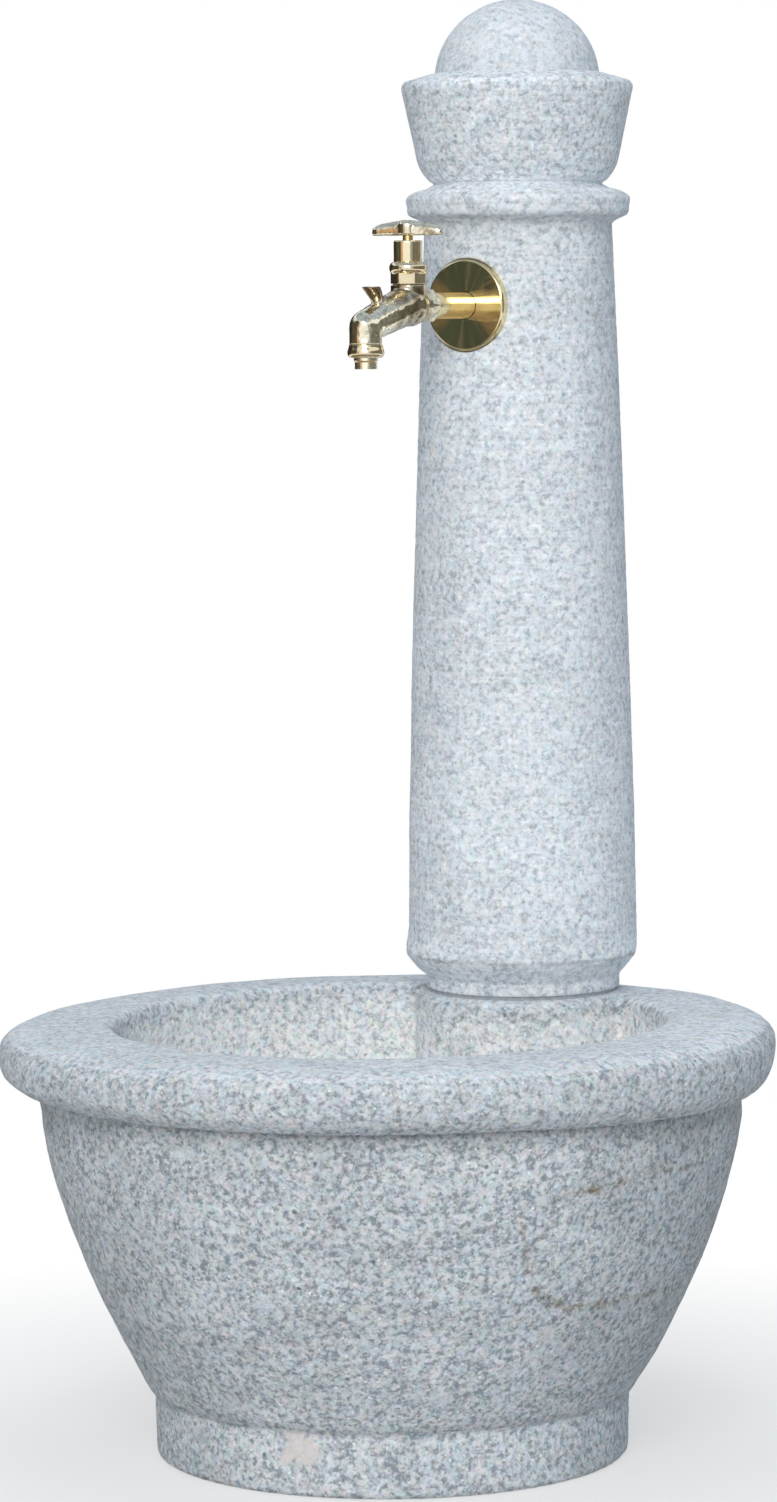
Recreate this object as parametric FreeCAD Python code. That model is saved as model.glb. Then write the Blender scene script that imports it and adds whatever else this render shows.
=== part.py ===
import FreeCAD, Part
import math
import os

# Stone garden fountain: a granite bowl with a rolled rim, a turned column standing on the rim,
# and a brass tap that pours into the bowl.
# Millimetres. Origin at the middle of the foot's underside, +Z up, +Y from the bowl to the column.
# The tap points along -Y.

Vec = FreeCAD.Vector
UP = Vec(0, 0, 1)

# Bowl, outside
rim_radius = 300.0
rim_height = 338.7
rim_crest_inset = 55.0
rim_girth_drop = 20.2
rim_crest_power = 2.58
rim_under_power = 2.3
roll_depth = 55.7
roll_overhang = 27.0
wall_power = 1.62
foot_inset = 115.0
foot_recess = 2.0
foot_height = 44.0
foot_crease = 4.5
foot_edge = 3.0

# Bowl, inside
rim_width = 87.0
mouth_edge = 9.0
edge_turn = 80.0
edge_lead = 30.0
floor_height = 90.0
hollow_power = 2.4

# Column seat and pier
column_inset = 112.4
pier_radius = 87.0
seat_radius = 78.5
seat_raise = 2.0
seat_root = 6.0
bed_thickness = 2.0
bed_inset = 1.5

# Column shaft
base_ring_radius = 77.5
base_ring_height = 12.5
base_chamfer_height = 13.0
base_chamfer_rounding = 5.0
drum_radius = 91.7
shaft_top_radius = 74.5
shaft_power = 1.4
shaft_length = 641.3
collar_radius = 89.2
collar_under_height = 13.5
collar_over_height = 12.0
collar_lip = 14.2
collar_under_power = 1.8
collar_over_power = 2.4
neck_radius = 67.5
neck_height = 1.0

# Capital and ball finial
capital_bed_thickness = 1.5
capital_bed_inset = 0.3
cup_foot_radius = 80.6
cup_foot_height = 20.5
cup_foot_power = 1.42
cup_rim_radius = 92.0
cup_rim_height = 74.6
cup_corner = 6.5
shoulder_height = 87.0
ball_radius = 65.5
ball_sink = 7.5
ball_flat_depth = 40.0
finial_bed_thickness = 1.5

# Pins that locate the stones
column_pin_radius = 6.0
column_pin_length = 120.0
column_pin_spread = 34.0
column_pin_back = 25.0
capital_pin_radius = 5.0
capital_pin_length = 50.0
capital_pin_spread = 30.0
capital_pin_back = 22.0
finial_pin_radius = 5.0
finial_pin_length = 46.0
pin_clearance = 0.25
pin_headroom = 2.0

# Supply pipe inside the stones
pipe_bore_radius = 23.0
pipe_forward = 31.6
pipe_radius = 10.65
pipe_wall = 2.6
pipe_end_height = 12.0
thread_radius = 10.48
thread_length = 15.0
elbow_radius = 14.5
elbow_bend_radius = elbow_radius + 0.5
elbow_reach = 22.0
elbow_band = 4.0
elbow_band_rise = 1.0
thread_engagement = 11.0
grommet_length = 12.0
grommet_gap = 0.05
lower_grommet_height = 40.0
seat_grommet_rise = 20.0
elbow_grommet_drop = 3.0
cross_bore_radius = 13.0
elbow_pocket_gap = 1.5

# Tap
tap_drop = 68.5
rosette_seat_depth = 7.8
rosette_seat_radius = 37.0
rosette_radius = 36.0
rosette_depth = 7.0
rosette_wall = 1.4
rosette_rounding = 2.0
rosette_bore_gap = 0.4
extension_radius = 10.5
extension_bore_radius = 7.5
extension_show = 52.0
inlet_radius = 13.0
inlet_hex_flats = 25.0
inlet_hex_length = 9.0
bonnet_forward = 25.0
outlet_forward = 57.5
chamber_radius = 16.0
socket_radius = 13.6
socket_height = 16.0
spout_root_radius = 15.6
spout_root_rise = 1.5
spout_radius = 12.5
spout_fall = 15.4
outlet_shoulder_drop = 29.0
outlet_thread_radius = 10.4
outlet_thread_length = 5.5
waterway_radius = 6.0
spout_way_radius = 5.0
spout_way_forward = 9.0
spout_way_rise = 0.5
lower_way_drop = 6.0
lower_way_radius = 6.5
seat_orifice_radius = 5.5
seat_level = 3.5
upper_chamber_radius = 10.6
lug_back = 17.0
lug_height = 15.0

# Bonnet, gland and handle
bonnet_skirt_length = 6.0
bonnet_skirt_wall = 2.0
bonnet_gasket = 0.8
bonnet_hex_flats = 24.5
bonnet_hex_height = 7.8
bonnet_hex_turn = 30.0
bead_radius = 14.7
bead_height = 9.2
bonnet_neck_radius = 8.6
bonnet_neck_height = 11.0
bonnet_recess_room = 0.5
packing_radius = 6.6
packing_height = 6.0
gland_nut_radius = 11.1
gland_nut_height = 16.6
gland_thread_gap = 0.1
stem_radius = 4.0
stem_gap = 0.05
stem_thread_radius = 5.0
stem_thread_length = 22.0
handle_gap = 3.8
handle_span = 58.0
handle_hub_radius = 7.8
handle_height = 11.9
handle_turned = 12.0
handle_screw_radius = 3.6
handle_screw_length = 9.0
handle_screw_head = 1.6
handle_socket_depth = 6.0

# Valve on the end of the spindle
valve_lift = 5.0
valve_gap = 0.1
washer_radius = 7.4
washer_thickness = 3.0
jumper_radius = 7.8
jumper_thickness = 2.5
jumper_pin_radius = 2.5
jumper_pin_length = 8.0
jumper_stud_radius = 1.5
washer_nut_flats = 6.0
washer_nut_height = 1.6

# Outlet
outlet_gasket_thickness = 1.5
outlet_gasket_width = 3.3
nozzle_flange_radius = 10.2
nozzle_flange_thickness = 1.6
nozzle_neck_radius = 9.3
nozzle_radius = 8.6
nozzle_bore_radius = 6.5
nozzle_neck_length = 3.6
nozzle_taper_length = 1.4
nozzle_length = 11.8
outlet_nut_radius = 14.2
outlet_nut_wall = 1.6
outlet_nut_top_radius = 12.9
fit_gap = 0.1

# Waste through the bowl's floor
recess_radius = 62.0
recess_height = 45.0
waste_hole_radius = 24.0
waste_rebate_radius = 38.5
waste_rebate_depth = 5.0
waste_flange_radius = 38.0
waste_flange_thickness = 2.5
waste_seal_thickness = 2.5
waste_nose_radius = 20.3
waste_nose_wall = 2.0
waste_nose_length = 28.0
waste_sleeve_radius = 23.4
waste_sleeve_gap = 0.2
waste_sleeve_length = 34.0
waste_nut_flange_radius = 34.0
waste_nut_flange_thickness = 3.5
waste_thread_radius = 20.95
waste_tail_wall = 3.2
waste_tail_clear = 10.0
waste_bar_width = 9.0
waste_bar_height = 8.0
waste_screw_radius = 2.95
waste_screw_head_radius = 6.0
waste_slot_width = 5.0
waste_slot_count = 8
waste_slot_inner = 9.0
waste_slot_outer = 17.5

# Radii and levels that follow from the sizes above
rim_crest_radius = rim_radius - rim_crest_inset
wall_top_radius = rim_radius - roll_overhang
foot_radius = rim_radius - foot_inset
wall_foot_radius = foot_radius + foot_recess
mouth_radius = rim_radius - rim_width
column_offset = rim_radius - column_inset
rim_girth_height = rim_height - rim_girth_drop
roll_underside_height = rim_height - roll_depth
seat_height = rim_height + seat_raise
column_foot = seat_height + bed_thickness
shaft_top = column_foot + shaft_length
collar_middle = shaft_top - neck_height - collar_over_height
collar_bottom = collar_middle - collar_under_height
drum_bottom = column_foot + base_ring_height + base_chamfer_height + base_chamfer_rounding
capital_foot = shaft_top + capital_bed_thickness
shoulder_top = capital_foot + shoulder_height
ball_middle = shoulder_top - ball_sink
ball_flat = ball_middle - ball_flat_depth
pipe_y = column_offset - pipe_forward
tap_z = collar_bottom - tap_drop


def polyline(points):
    """Straight edges through points given as (radius, height)."""
    corners = [Vec(r, 0, z) for r, z in points]
    return [Part.LineSegment(a, b).toShape() for a, b in zip(corners, corners[1:])]


def curve(points):
    """One smooth edge through points given as (radius, height)."""
    spline = Part.BSplineCurve()
    spline.interpolate([Vec(r, 0, z) for r, z in points])
    return [spline.toShape()]


def turned(edges, x=0.0, y=0.0):
    """Solid of revolution about a vertical axis from a closed run of edges."""
    face = Part.Face(Part.Wire(edges))
    solid = face.revolve(Vec(0, 0, 0), UP, 360)
    solid.translate(Vec(x, y, 0))
    return solid


def quarter(centre_r, centre_z, width, height, power, steps, start=0.0, end=90.0):
    """Points on a rounded quarter, from its side (0 degrees) to its top or bottom (90 degrees)."""
    points = []
    for step in range(steps + 1):
        angle = math.radians(start + (end - start) * step / steps)
        along = max(0.0, math.cos(angle)) ** (2.0 / power)
        rise = max(0.0, math.sin(angle)) ** (2.0 / power)
        points.append((centre_r + width * along, centre_z + height * rise))
    return points


def disc(radius, z0, z1, x=0.0, y=0.0):
    return Part.makeCylinder(radius, z1 - z0, Vec(x, y, z0), UP)


def ring(outer, inner, z0, z1, x=0.0, y=0.0):
    return disc(outer, z0, z1, x, y).cut(disc(inner, z0 - 1, z1 + 1, x, y))


def rod_y(radius, y0, y1, z):
    """Cylinder along Y at x = 0."""
    return Part.makeCylinder(radius, y1 - y0, Vec(0, y0, z), Vec(0, 1, 0))


def hexagon(flats, z0, z1, x, y, turn=0.0):
    """Hexagonal prism with its corners turned down a little, as on a wrench hexagon."""
    corner = flats / math.sqrt(3)
    points = []
    for step in range(7):
        angle = math.radians(60 * step + turn)
        points.append(Vec(x + corner * math.cos(angle), y + corner * math.sin(angle), z0))
    prism = Part.Face(Part.makePolygon(points)).extrude(Vec(0, 0, z1 - z0))
    return prism.common(disc(corner * 0.965, z0, z1, x, y))


def joined(first, *others):
    """One clean solid from pieces that overlap."""
    return first.fuse(list(others)).removeSplitter()


def shaft_radius(height):
    """Radius of the tapering shaft at a height, between the drum's foot and the collar."""
    share = (collar_bottom - height) / (collar_bottom - drum_bottom)
    return shaft_top_radius + (drum_radius - shaft_top_radius) * (1 - (1 - share) ** shaft_power)


def bowl_outline():
    """Outside of the bowl, from the middle of the foot up to the rim's flat top."""
    wall_base = foot_height + foot_crease
    wall = []
    for step in range(9):
        share = step / 8
        swell = 1 - (1 - share) ** wall_power
        height = wall_base + share * (roll_underside_height - wall_base)
        wall.append((wall_foot_radius + (wall_top_radius - wall_foot_radius) * swell, height))
    under_width = rim_radius - wall_top_radius
    under_height = roll_underside_height - rim_girth_height
    under = quarter(wall_top_radius, rim_girth_height, under_width, under_height, rim_under_power, 7)
    over_width = rim_radius - rim_crest_radius
    over_height = rim_height - rim_girth_height
    over = quarter(rim_crest_radius, rim_girth_height, over_width, over_height, rim_crest_power, 8)
    edges = polyline([
        (0, 0),
        (foot_radius - 1 - foot_edge, 0),
        (foot_radius - 1, foot_edge),
        (foot_radius, foot_height),
        (wall_foot_radius, wall_base),
    ])
    edges += curve(wall)
    edges += curve(under[::-1] + over[1:])
    edges += polyline([(rim_crest_radius, rim_height), (0, rim_height), (0, 0)])
    return edges


def edge_rounding(radius, side):
    """Points from a vertical wall over a rounded edge to the rim's top, and on above it.

    Side is 1 where the wall lies inside the edge, as at the mouth, and -1 where it lies outside,
    as on the pier.
    """
    foot = rim_height - mouth_edge * math.sin(math.radians(edge_turn))
    points = []
    for step in range(7):
        angle = math.radians(edge_turn * step / 6)
        along = radius + side * mouth_edge * (1 - math.cos(angle))
        points.append((along, foot + mouth_edge * math.sin(angle)))
    last_r, last_z = points[-1]
    slope = math.radians(90 - edge_turn)
    over = (last_r + side * edge_lead * math.cos(slope), last_z + edge_lead * math.sin(slope))
    return foot, points, over


def bowl_hollow():
    """Space inside the bowl, without the pier that carries the column."""
    foot, edge, over = edge_rounding(mouth_radius, 1)
    points = quarter(0, foot, mouth_radius, floor_height - foot, hollow_power, 12)
    above = rim_height + 20
    edges = polyline([(0, floor_height), (0, above), (over[0], above), over, edge[-1]])
    edges += curve(edge)
    edges += curve(points)
    space = turned(edges)
    foot, edge, over = edge_rounding(pier_radius, -1)
    edges = polyline([(0, above), (0, floor_height - 1), (pier_radius, floor_height - 1), (pier_radius, foot)])
    edges += curve(edge)
    edges += polyline([edge[-1], over, (over[0], above), (0, above)])
    return space.cut(turned(edges, 0, column_offset))


def column_pin_places():
    places = []
    for side in (-1, 1):
        places.append((side * column_pin_spread, column_offset + column_pin_back))
    return places


def capital_pin_places():
    places = []
    for side in (-1, 1):
        places.append((side * capital_pin_spread, column_offset + capital_pin_back))
    return places


def make_basin():
    bowl = turned(bowl_outline()).cut(bowl_hollow())
    bowl = joined(bowl, disc(seat_radius, rim_height - seat_root, seat_height, 0, column_offset))
    bowl = bowl.cut(disc(pipe_bore_radius, -1, seat_height + 1, 0, pipe_y))
    bowl = bowl.cut(disc(recess_radius, -1, recess_height))
    bowl = bowl.cut(disc(waste_hole_radius, recess_height - 1, floor_height))
    bowl = bowl.cut(disc(waste_rebate_radius, floor_height - waste_rebate_depth, floor_height + 5))
    half = column_pin_length / 2
    for x, y in column_pin_places():
        bowl = bowl.cut(disc(column_pin_radius + pin_clearance, seat_height - half, seat_height + 1, x, y))
    return bowl


def make_column_bed():
    bed = disc(base_ring_radius - bed_inset, seat_height, column_foot, 0, column_offset)
    bed = bed.cut(disc(pipe_bore_radius, seat_height - 1, column_foot + 1, 0, pipe_y))
    for x, y in column_pin_places():
        bed = bed.cut(disc(column_pin_radius + pin_clearance, seat_height - 1, column_foot + 1, x, y))
    return bed


def make_column_pins():
    half = column_pin_length / 2
    return Part.makeCompound([
        disc(column_pin_radius, seat_height - half, seat_height + half, x, y)
        for x, y in column_pin_places()
    ])


def shaft_outline():
    chamfer_foot = column_foot + base_ring_height
    chamfer_top = chamfer_foot + base_chamfer_height
    edges = polyline([
        (0, column_foot),
        (base_ring_radius - 1, column_foot),
        (base_ring_radius, column_foot + 1),
        (base_ring_radius, chamfer_foot - 1),
        (base_ring_radius + 1.5, chamfer_foot),
        (drum_radius - 2, chamfer_top),
        (drum_radius, drum_bottom),
    ])
    taper = []
    for step in range(11):
        height = drum_bottom + (collar_bottom - drum_bottom) * step / 10
        taper.append((shaft_radius(height), height))
    edges += polyline(taper)
    lip_r = collar_radius - collar_lip
    under = quarter(lip_r, collar_middle, collar_lip, -collar_under_height, collar_under_power, 6)
    over = quarter(neck_radius, collar_middle, collar_radius - neck_radius, collar_over_height,
                   collar_over_power, 8)
    edges += polyline([(shaft_top_radius, collar_bottom), (lip_r, collar_bottom)])
    edges += curve(under[::-1] + over[1:])
    edges += polyline([
        (neck_radius, shaft_top - neck_height),
        (neck_radius, shaft_top),
        (0, shaft_top),
        (0, column_foot),
    ])
    return edges


def rosette_seat_y():
    """Plane of the flat that is cut into the shaft for the rosette."""
    return column_offset - shaft_radius(tap_z) + rosette_seat_depth


def make_shaft():
    shaft = turned(shaft_outline(), 0, column_offset)
    shaft = shaft.cut(disc(pipe_bore_radius, column_foot - 1, shaft_top + 1, 0, pipe_y))
    seat_y = rosette_seat_y()
    shaft = shaft.cut(rod_y(rosette_seat_radius, seat_y - 60, seat_y, tap_z))
    shaft = shaft.cut(rod_y(cross_bore_radius, seat_y - 1, pipe_y, tap_z))
    pocket_radius = elbow_radius + elbow_band_rise + elbow_pocket_gap
    shaft = shaft.cut(rod_y(pocket_radius, pipe_y - elbow_reach - elbow_pocket_gap, pipe_y, tap_z))
    hole_top = seat_height + column_pin_length / 2 + pin_headroom
    for x, y in column_pin_places():
        shaft = shaft.cut(disc(column_pin_radius + pin_clearance, column_foot - 1, hole_top, x, y))
    for x, y in capital_pin_places():
        hole_floor = shaft_top - capital_pin_length / 2
        shaft = shaft.cut(disc(capital_pin_radius + pin_clearance, hole_floor, shaft_top + 1, x, y))
    return shaft


def make_capital_bed():
    bed = disc(neck_radius - capital_bed_inset, shaft_top, capital_foot, 0, column_offset)
    bed = bed.cut(disc(pipe_bore_radius, shaft_top - 1, capital_foot + 1, 0, pipe_y))
    for x, y in capital_pin_places():
        bed = bed.cut(disc(capital_pin_radius + pin_clearance, shaft_top - 1, capital_foot + 1, x, y))
    return bed


def make_capital_pins():
    half = capital_pin_length / 2
    return Part.makeCompound([
        disc(capital_pin_radius, shaft_top - half, shaft_top + half, x, y)
        for x, y in capital_pin_places()
    ])


def ball_socket():
    """Space that the ball and its bed take out of the capital."""
    socket = Part.makeSphere(ball_radius + finial_bed_thickness, Vec(0, column_offset, ball_middle))
    floor = ball_flat - finial_bed_thickness
    return socket.common(disc(ball_radius * 2, floor, floor + ball_radius * 3, 0, column_offset))


def make_capital():
    lower = quarter(neck_radius, capital_foot + cup_foot_height, cup_foot_radius - neck_radius,
                    -cup_foot_height, cup_foot_power, 6)
    side_top = capital_foot + cup_rim_height
    corner_top = side_top + cup_corner
    corner = quarter(cup_rim_radius - cup_corner, side_top, cup_corner, cup_corner, 2.0, 5)
    edges = polyline([(0, capital_foot), (neck_radius, capital_foot)])
    edges += curve(lower[::-1])
    edges += polyline([lower[0], corner[0]])
    edges += curve(corner)
    edges += polyline([
        (cup_rim_radius - cup_corner, corner_top),
        (ball_radius, shoulder_top),
        (0, shoulder_top),
        (0, capital_foot),
    ])
    capital = turned(edges, 0, column_offset).cut(ball_socket())
    pin_top = shaft_top + capital_pin_length / 2 + pin_headroom
    for x, y in capital_pin_places():
        capital = capital.cut(disc(capital_pin_radius + pin_clearance, capital_foot - 1, pin_top, x, y))
    floor = ball_flat - finial_bed_thickness
    hole_floor = floor - finial_pin_length / 2
    hole = disc(finial_pin_radius + pin_clearance, hole_floor, floor + 1, 0, column_offset)
    return capital.cut(hole)


def make_ball():
    ball = Part.makeSphere(ball_radius, Vec(0, column_offset, ball_middle))
    ball = ball.common(disc(ball_radius * 2, ball_flat, ball_middle + ball_radius * 2, 0, column_offset))
    pin_top = ball_flat - finial_bed_thickness + finial_pin_length / 2 + pin_headroom
    return ball.cut(disc(finial_pin_radius + pin_clearance, ball_flat - 1, pin_top, 0, column_offset))


def make_finial_bed():
    bed = ball_socket().common(disc(ball_radius * 2, 0, shoulder_top - 0.5, 0, column_offset))
    ball = Part.makeSphere(ball_radius, Vec(0, column_offset, ball_middle))
    ball = ball.common(disc(ball_radius * 2, ball_flat, ball_middle + ball_radius * 2, 0, column_offset))
    bed = bed.cut(ball)
    floor = ball_flat - finial_bed_thickness
    return bed.cut(disc(finial_pin_radius + pin_clearance, floor - 1, ball_flat + 1, 0, column_offset))


def make_finial_pin():
    floor = ball_flat - finial_bed_thickness
    half = finial_pin_length / 2
    return disc(finial_pin_radius, floor - half, floor + half, 0, column_offset)


def make_riser():
    """Supply pipe from the thread under the foot to the elbow behind the tap."""
    top = tap_z - elbow_reach + thread_engagement
    thread_top = pipe_end_height + thread_length
    pipe = joined(
        disc(pipe_radius, thread_top, top, 0, pipe_y),
        disc(thread_radius, pipe_end_height, thread_top + 1, 0, pipe_y),
    )
    return pipe.cut(disc(pipe_radius - pipe_wall, pipe_end_height - 1, top + 1, 0, pipe_y))


def elbow_bend(radius):
    """Quarter turn of a round section, from the riser's axis to the extension's."""
    centre = Vec(0, pipe_y - elbow_bend_radius, tap_z - elbow_bend_radius)
    section = Part.Face(Part.Wire([Part.makeCircle(radius, Vec(0, pipe_y, centre.z), UP)]))
    return section.revolve(centre, Vec(1, 0, 0), 90)


def make_elbow():
    """Elbow with a socket below for the riser and one in front for the extension."""
    band_radius = elbow_radius + elbow_band_rise
    front = pipe_y - elbow_reach
    bottom = tap_z - elbow_reach
    bend_foot = tap_z - elbow_bend_radius
    bend_front = pipe_y - elbow_bend_radius
    body = joined(
        elbow_bend(elbow_radius),
        disc(elbow_radius, bottom, bend_foot, 0, pipe_y),
        disc(band_radius, bottom, bottom + elbow_band, 0, pipe_y),
        rod_y(elbow_radius, front, bend_front, tap_z),
        rod_y(band_radius, front, front + elbow_band, tap_z),
    )
    way = pipe_radius - pipe_wall
    waterway = joined(
        elbow_bend(way),
        disc(way, bottom - 1, bend_foot, 0, pipe_y),
        rod_y(way, front - 1, bend_front, tap_z),
    )
    body = body.cut(waterway)
    body = body.cut(disc(pipe_radius, bottom - 1, bottom + thread_engagement, 0, pipe_y))
    return body.cut(rod_y(extension_radius, front - 1, front + thread_engagement, tap_z))


def make_grommets():
    """Rubber rings that centre the riser in its bore: in the foot, above the seat, under the elbow."""
    elbow_bottom = tap_z - elbow_reach
    tops = (
        lower_grommet_height + grommet_length,
        column_foot + seat_grommet_rise + grommet_length,
        elbow_bottom - elbow_grommet_drop,
    )
    outer = pipe_bore_radius - grommet_gap
    return Part.makeCompound([
        ring(outer, pipe_radius, top - grommet_length, top, 0, pipe_y)
        for top in tops
    ])


def rosette_front_y():
    return rosette_seat_y() - rosette_depth


def tap_inlet_y():
    return rosette_front_y() - extension_show


def bonnet_y():
    return tap_inlet_y() - bonnet_forward


def outlet_y():
    return bonnet_y() - outlet_forward


def make_extension():
    """Brass tube that carries the tap, from the elbow inside the shaft to the tap's inlet."""
    back = pipe_y - elbow_reach + thread_engagement
    front = tap_inlet_y() - thread_engagement
    tube = rod_y(extension_radius, front, back, tap_z)
    return tube.cut(rod_y(extension_bore_radius, front - 1, back + 1, tap_z))


def make_rosette():
    """Shallow dished disc with a rolled edge, open at the back."""
    seat_y = rosette_seat_y()
    rounding = quarter(rosette_radius - rosette_rounding, rosette_depth - rosette_rounding,
                       rosette_rounding, rosette_rounding, 2.0, 5)
    bore = extension_radius + rosette_bore_gap
    edges = polyline([(rosette_radius - rosette_wall, 0), (rosette_radius, 0), rounding[0]])
    edges += curve(rounding)
    edges += polyline([
        rounding[-1],
        (bore, rosette_depth),
        (bore, rosette_depth - rosette_wall),
        (rosette_radius - rosette_wall, rosette_depth - rosette_wall),
        (rosette_radius - rosette_wall, 0),
    ])
    plate = turned(edges)
    plate.rotate(Vec(0, 0, 0), Vec(1, 0, 0), 90)
    plate.translate(Vec(0, seat_y, tap_z))
    return plate


def cone_between(start, end, radius_start, radius_end):
    along = end - start
    return Part.makeCone(radius_start, radius_end, along.Length, start, along)


def rod_between(start, end, radius):
    along = end - start
    return Part.makeCylinder(radius, along.Length, start, along)


def make_lug():
    """Flared horn on the spout that a pail's handle hangs on."""
    middle = outlet_y() + lug_back
    base = tap_z - 3
    stations = (
        (0.0, 1.0, 6.4),
        (lug_height * 0.55, -1.4, 5.4),
        (lug_height * 0.85, -5.0, 6.2),
        (lug_height + 3, -9.5, 7.2),
    )
    circles = []
    for rise, shift, radius in stations:
        circle = Part.makeCircle(radius, Vec(0, middle + shift, base + rise), UP)
        circles.append(Part.Wire([circle]))
    return Part.makeLoft(circles, True)


def spout_points():
    """Axis of the spout: its root in the chamber and the corner above the outlet."""
    root = Vec(0, bonnet_y(), tap_z + spout_root_rise)
    corner = Vec(0, outlet_y(), tap_z - spout_fall)
    return root, corner


def make_tap_body():
    y_in = tap_inlet_y()
    y_valve = bonnet_y()
    y_out = outlet_y()
    root, corner = spout_points()
    outlet_shoulder = tap_z - outlet_shoulder_drop
    thread_end = outlet_shoulder - outlet_thread_length
    hexed = hexagon(inlet_hex_flats, 0, inlet_hex_length, 0, 0)
    hexed.rotate(Vec(0, 0, 0), Vec(1, 0, 0), 90)
    hexed.translate(Vec(0, y_in, tap_z))
    body = joined(
        rod_y(inlet_radius, y_valve, y_in - 1, tap_z),
        hexed,
        Part.makeSphere(chamber_radius, Vec(0, y_valve, tap_z)),
        disc(socket_radius, tap_z, tap_z + socket_height, 0, y_valve),
        cone_between(root, corner, spout_root_radius, spout_radius),
        Part.makeSphere(spout_radius, corner),
        disc(spout_radius, outlet_shoulder, corner.z, 0, y_out),
        disc(outlet_thread_radius, thread_end, corner.z, 0, y_out),
        make_lug(),
    )
    lower_way = tap_z - lower_way_drop
    seat_top = tap_z + seat_level
    socket_top = tap_z + socket_height
    way_start = Vec(0, y_valve - spout_way_forward, seat_top + spout_way_rise)
    way_end = Vec(0, y_out, corner.z - 1)
    cuts = [
        disc(chamber_radius + 3, socket_top, socket_top + chamber_radius, 0, y_valve),
        rod_y(extension_radius, y_in - thread_engagement, y_in + 1, tap_z),
        rod_y(lower_way_radius, y_valve - 5, y_in - thread_engagement + 1, lower_way),
        disc(seat_orifice_radius, lower_way, seat_top + 1, 0, y_valve),
        disc(upper_chamber_radius, seat_top, socket_top + 1, 0, y_valve),
        rod_between(way_start, way_end, spout_way_radius),
        Part.makeSphere(waterway_radius, way_end),
        disc(waterway_radius, thread_end - 1, way_end.z, 0, y_out),
    ]
    for cut in cuts:
        body = body.cut(cut)
    return body


def bonnet_foot():
    """Level of the bonnet's hexagon, on its gasket above the tap body's socket."""
    return tap_z + socket_height + bonnet_gasket


def bonnet_head():
    return bonnet_foot() + bonnet_hex_height + bead_height


def make_bonnet():
    y = bonnet_y()
    foot = bonnet_foot()
    bead_foot = foot + bonnet_hex_height
    head = bonnet_head()
    half = bead_height / 2
    bead_edges = polyline([(0, bead_foot), (bead_radius - half * 0.8, bead_foot)])
    lower = quarter(bead_radius - half * 0.8, bead_foot + half, half * 0.8, -half, 2.0, 5)
    upper = quarter(bead_radius - half * 0.8, bead_foot + half, half * 0.8, half, 2.0, 5)
    bead_edges += curve(lower[::-1] + upper[1:])
    bead_edges += polyline([(bead_radius - half * 0.8, head), (0, head), (0, bead_foot)])
    skirt_radius = upper_chamber_radius - fit_gap
    skirt_bottom = tap_z + socket_height - bonnet_skirt_length
    neck_top = head + bonnet_neck_height
    bonnet = joined(
        hexagon(bonnet_hex_flats, foot, bead_foot + 1, 0, y, bonnet_hex_turn),
        turned(bead_edges, 0, y),
        disc(skirt_radius, skirt_bottom, foot + 1, 0, y),
        disc(bonnet_neck_radius, head - 1, neck_top, 0, y),
    )
    _, _, spindle_foot = valve_stack()
    recess_top = spindle_foot + valve_lift + bonnet_recess_room
    bonnet = bonnet.cut(disc(skirt_radius - bonnet_skirt_wall, skirt_bottom - 1, recess_top, 0, y))
    bonnet = bonnet.cut(disc(stem_thread_radius + stem_gap, recess_top - 1, neck_top + 1, 0, y))
    packing_floor = neck_top - packing_height
    return bonnet.cut(disc(packing_radius, packing_floor, neck_top + 1, 0, y))


def make_bonnet_gasket():
    top = bonnet_foot()
    inner = upper_chamber_radius
    return ring(socket_radius - 1.6, inner, top - bonnet_gasket, top, 0, bonnet_y())


def make_packing():
    top = bonnet_head() + bonnet_neck_height
    return ring(packing_radius, stem_radius + stem_gap, top - packing_height, top, 0, bonnet_y())


def make_gland_nut():
    """Round nut over the bonnet's neck that presses the packing on to the stem."""
    y = bonnet_y()
    foot = bonnet_head()
    top = foot + gland_nut_height
    chamfer = 0.8
    edges = polyline([
        (0, foot),
        (gland_nut_radius, foot),
        (gland_nut_radius, top - chamfer),
        (gland_nut_radius - chamfer, top),
        (0, top),
        (0, foot),
    ])
    nut = turned(edges, 0, y)
    neck_top = foot + bonnet_neck_height
    nut = nut.cut(disc(bonnet_neck_radius + gland_thread_gap, foot - 1, neck_top, 0, y))
    return nut.cut(disc(stem_radius + stem_gap, neck_top - 1, top + 1, 0, y))


def valve_stack():
    """Levels of the valve at rest: underside of the washer, of the jumper and of the spindle."""
    washer = tap_z + seat_level + valve_gap
    jumper = washer + washer_thickness
    spindle = jumper + jumper_thickness + valve_gap
    return washer, jumper, spindle


def make_valve_washer():
    washer, jumper, _ = valve_stack()
    return ring(washer_radius, jumper_stud_radius, washer, jumper, 0, bonnet_y())


def make_jumper():
    washer, jumper, spindle = valve_stack()
    y = bonnet_y()
    top = jumper + jumper_thickness
    return joined(
        disc(jumper_radius, jumper, top, 0, y),
        disc(jumper_pin_radius, top - 1, top + jumper_pin_length, 0, y),
        disc(jumper_stud_radius, washer - washer_nut_height - 0.6, jumper + 1, 0, y),
    )


def make_washer_nut():
    washer, _, _ = valve_stack()
    y = bonnet_y()
    nut = hexagon(washer_nut_flats, washer - washer_nut_height, washer, 0, y)
    return nut.cut(disc(jumper_stud_radius, washer - 5, washer + 1, 0, y))


def handle_foot():
    return bonnet_head() + gland_nut_height + handle_gap


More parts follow.
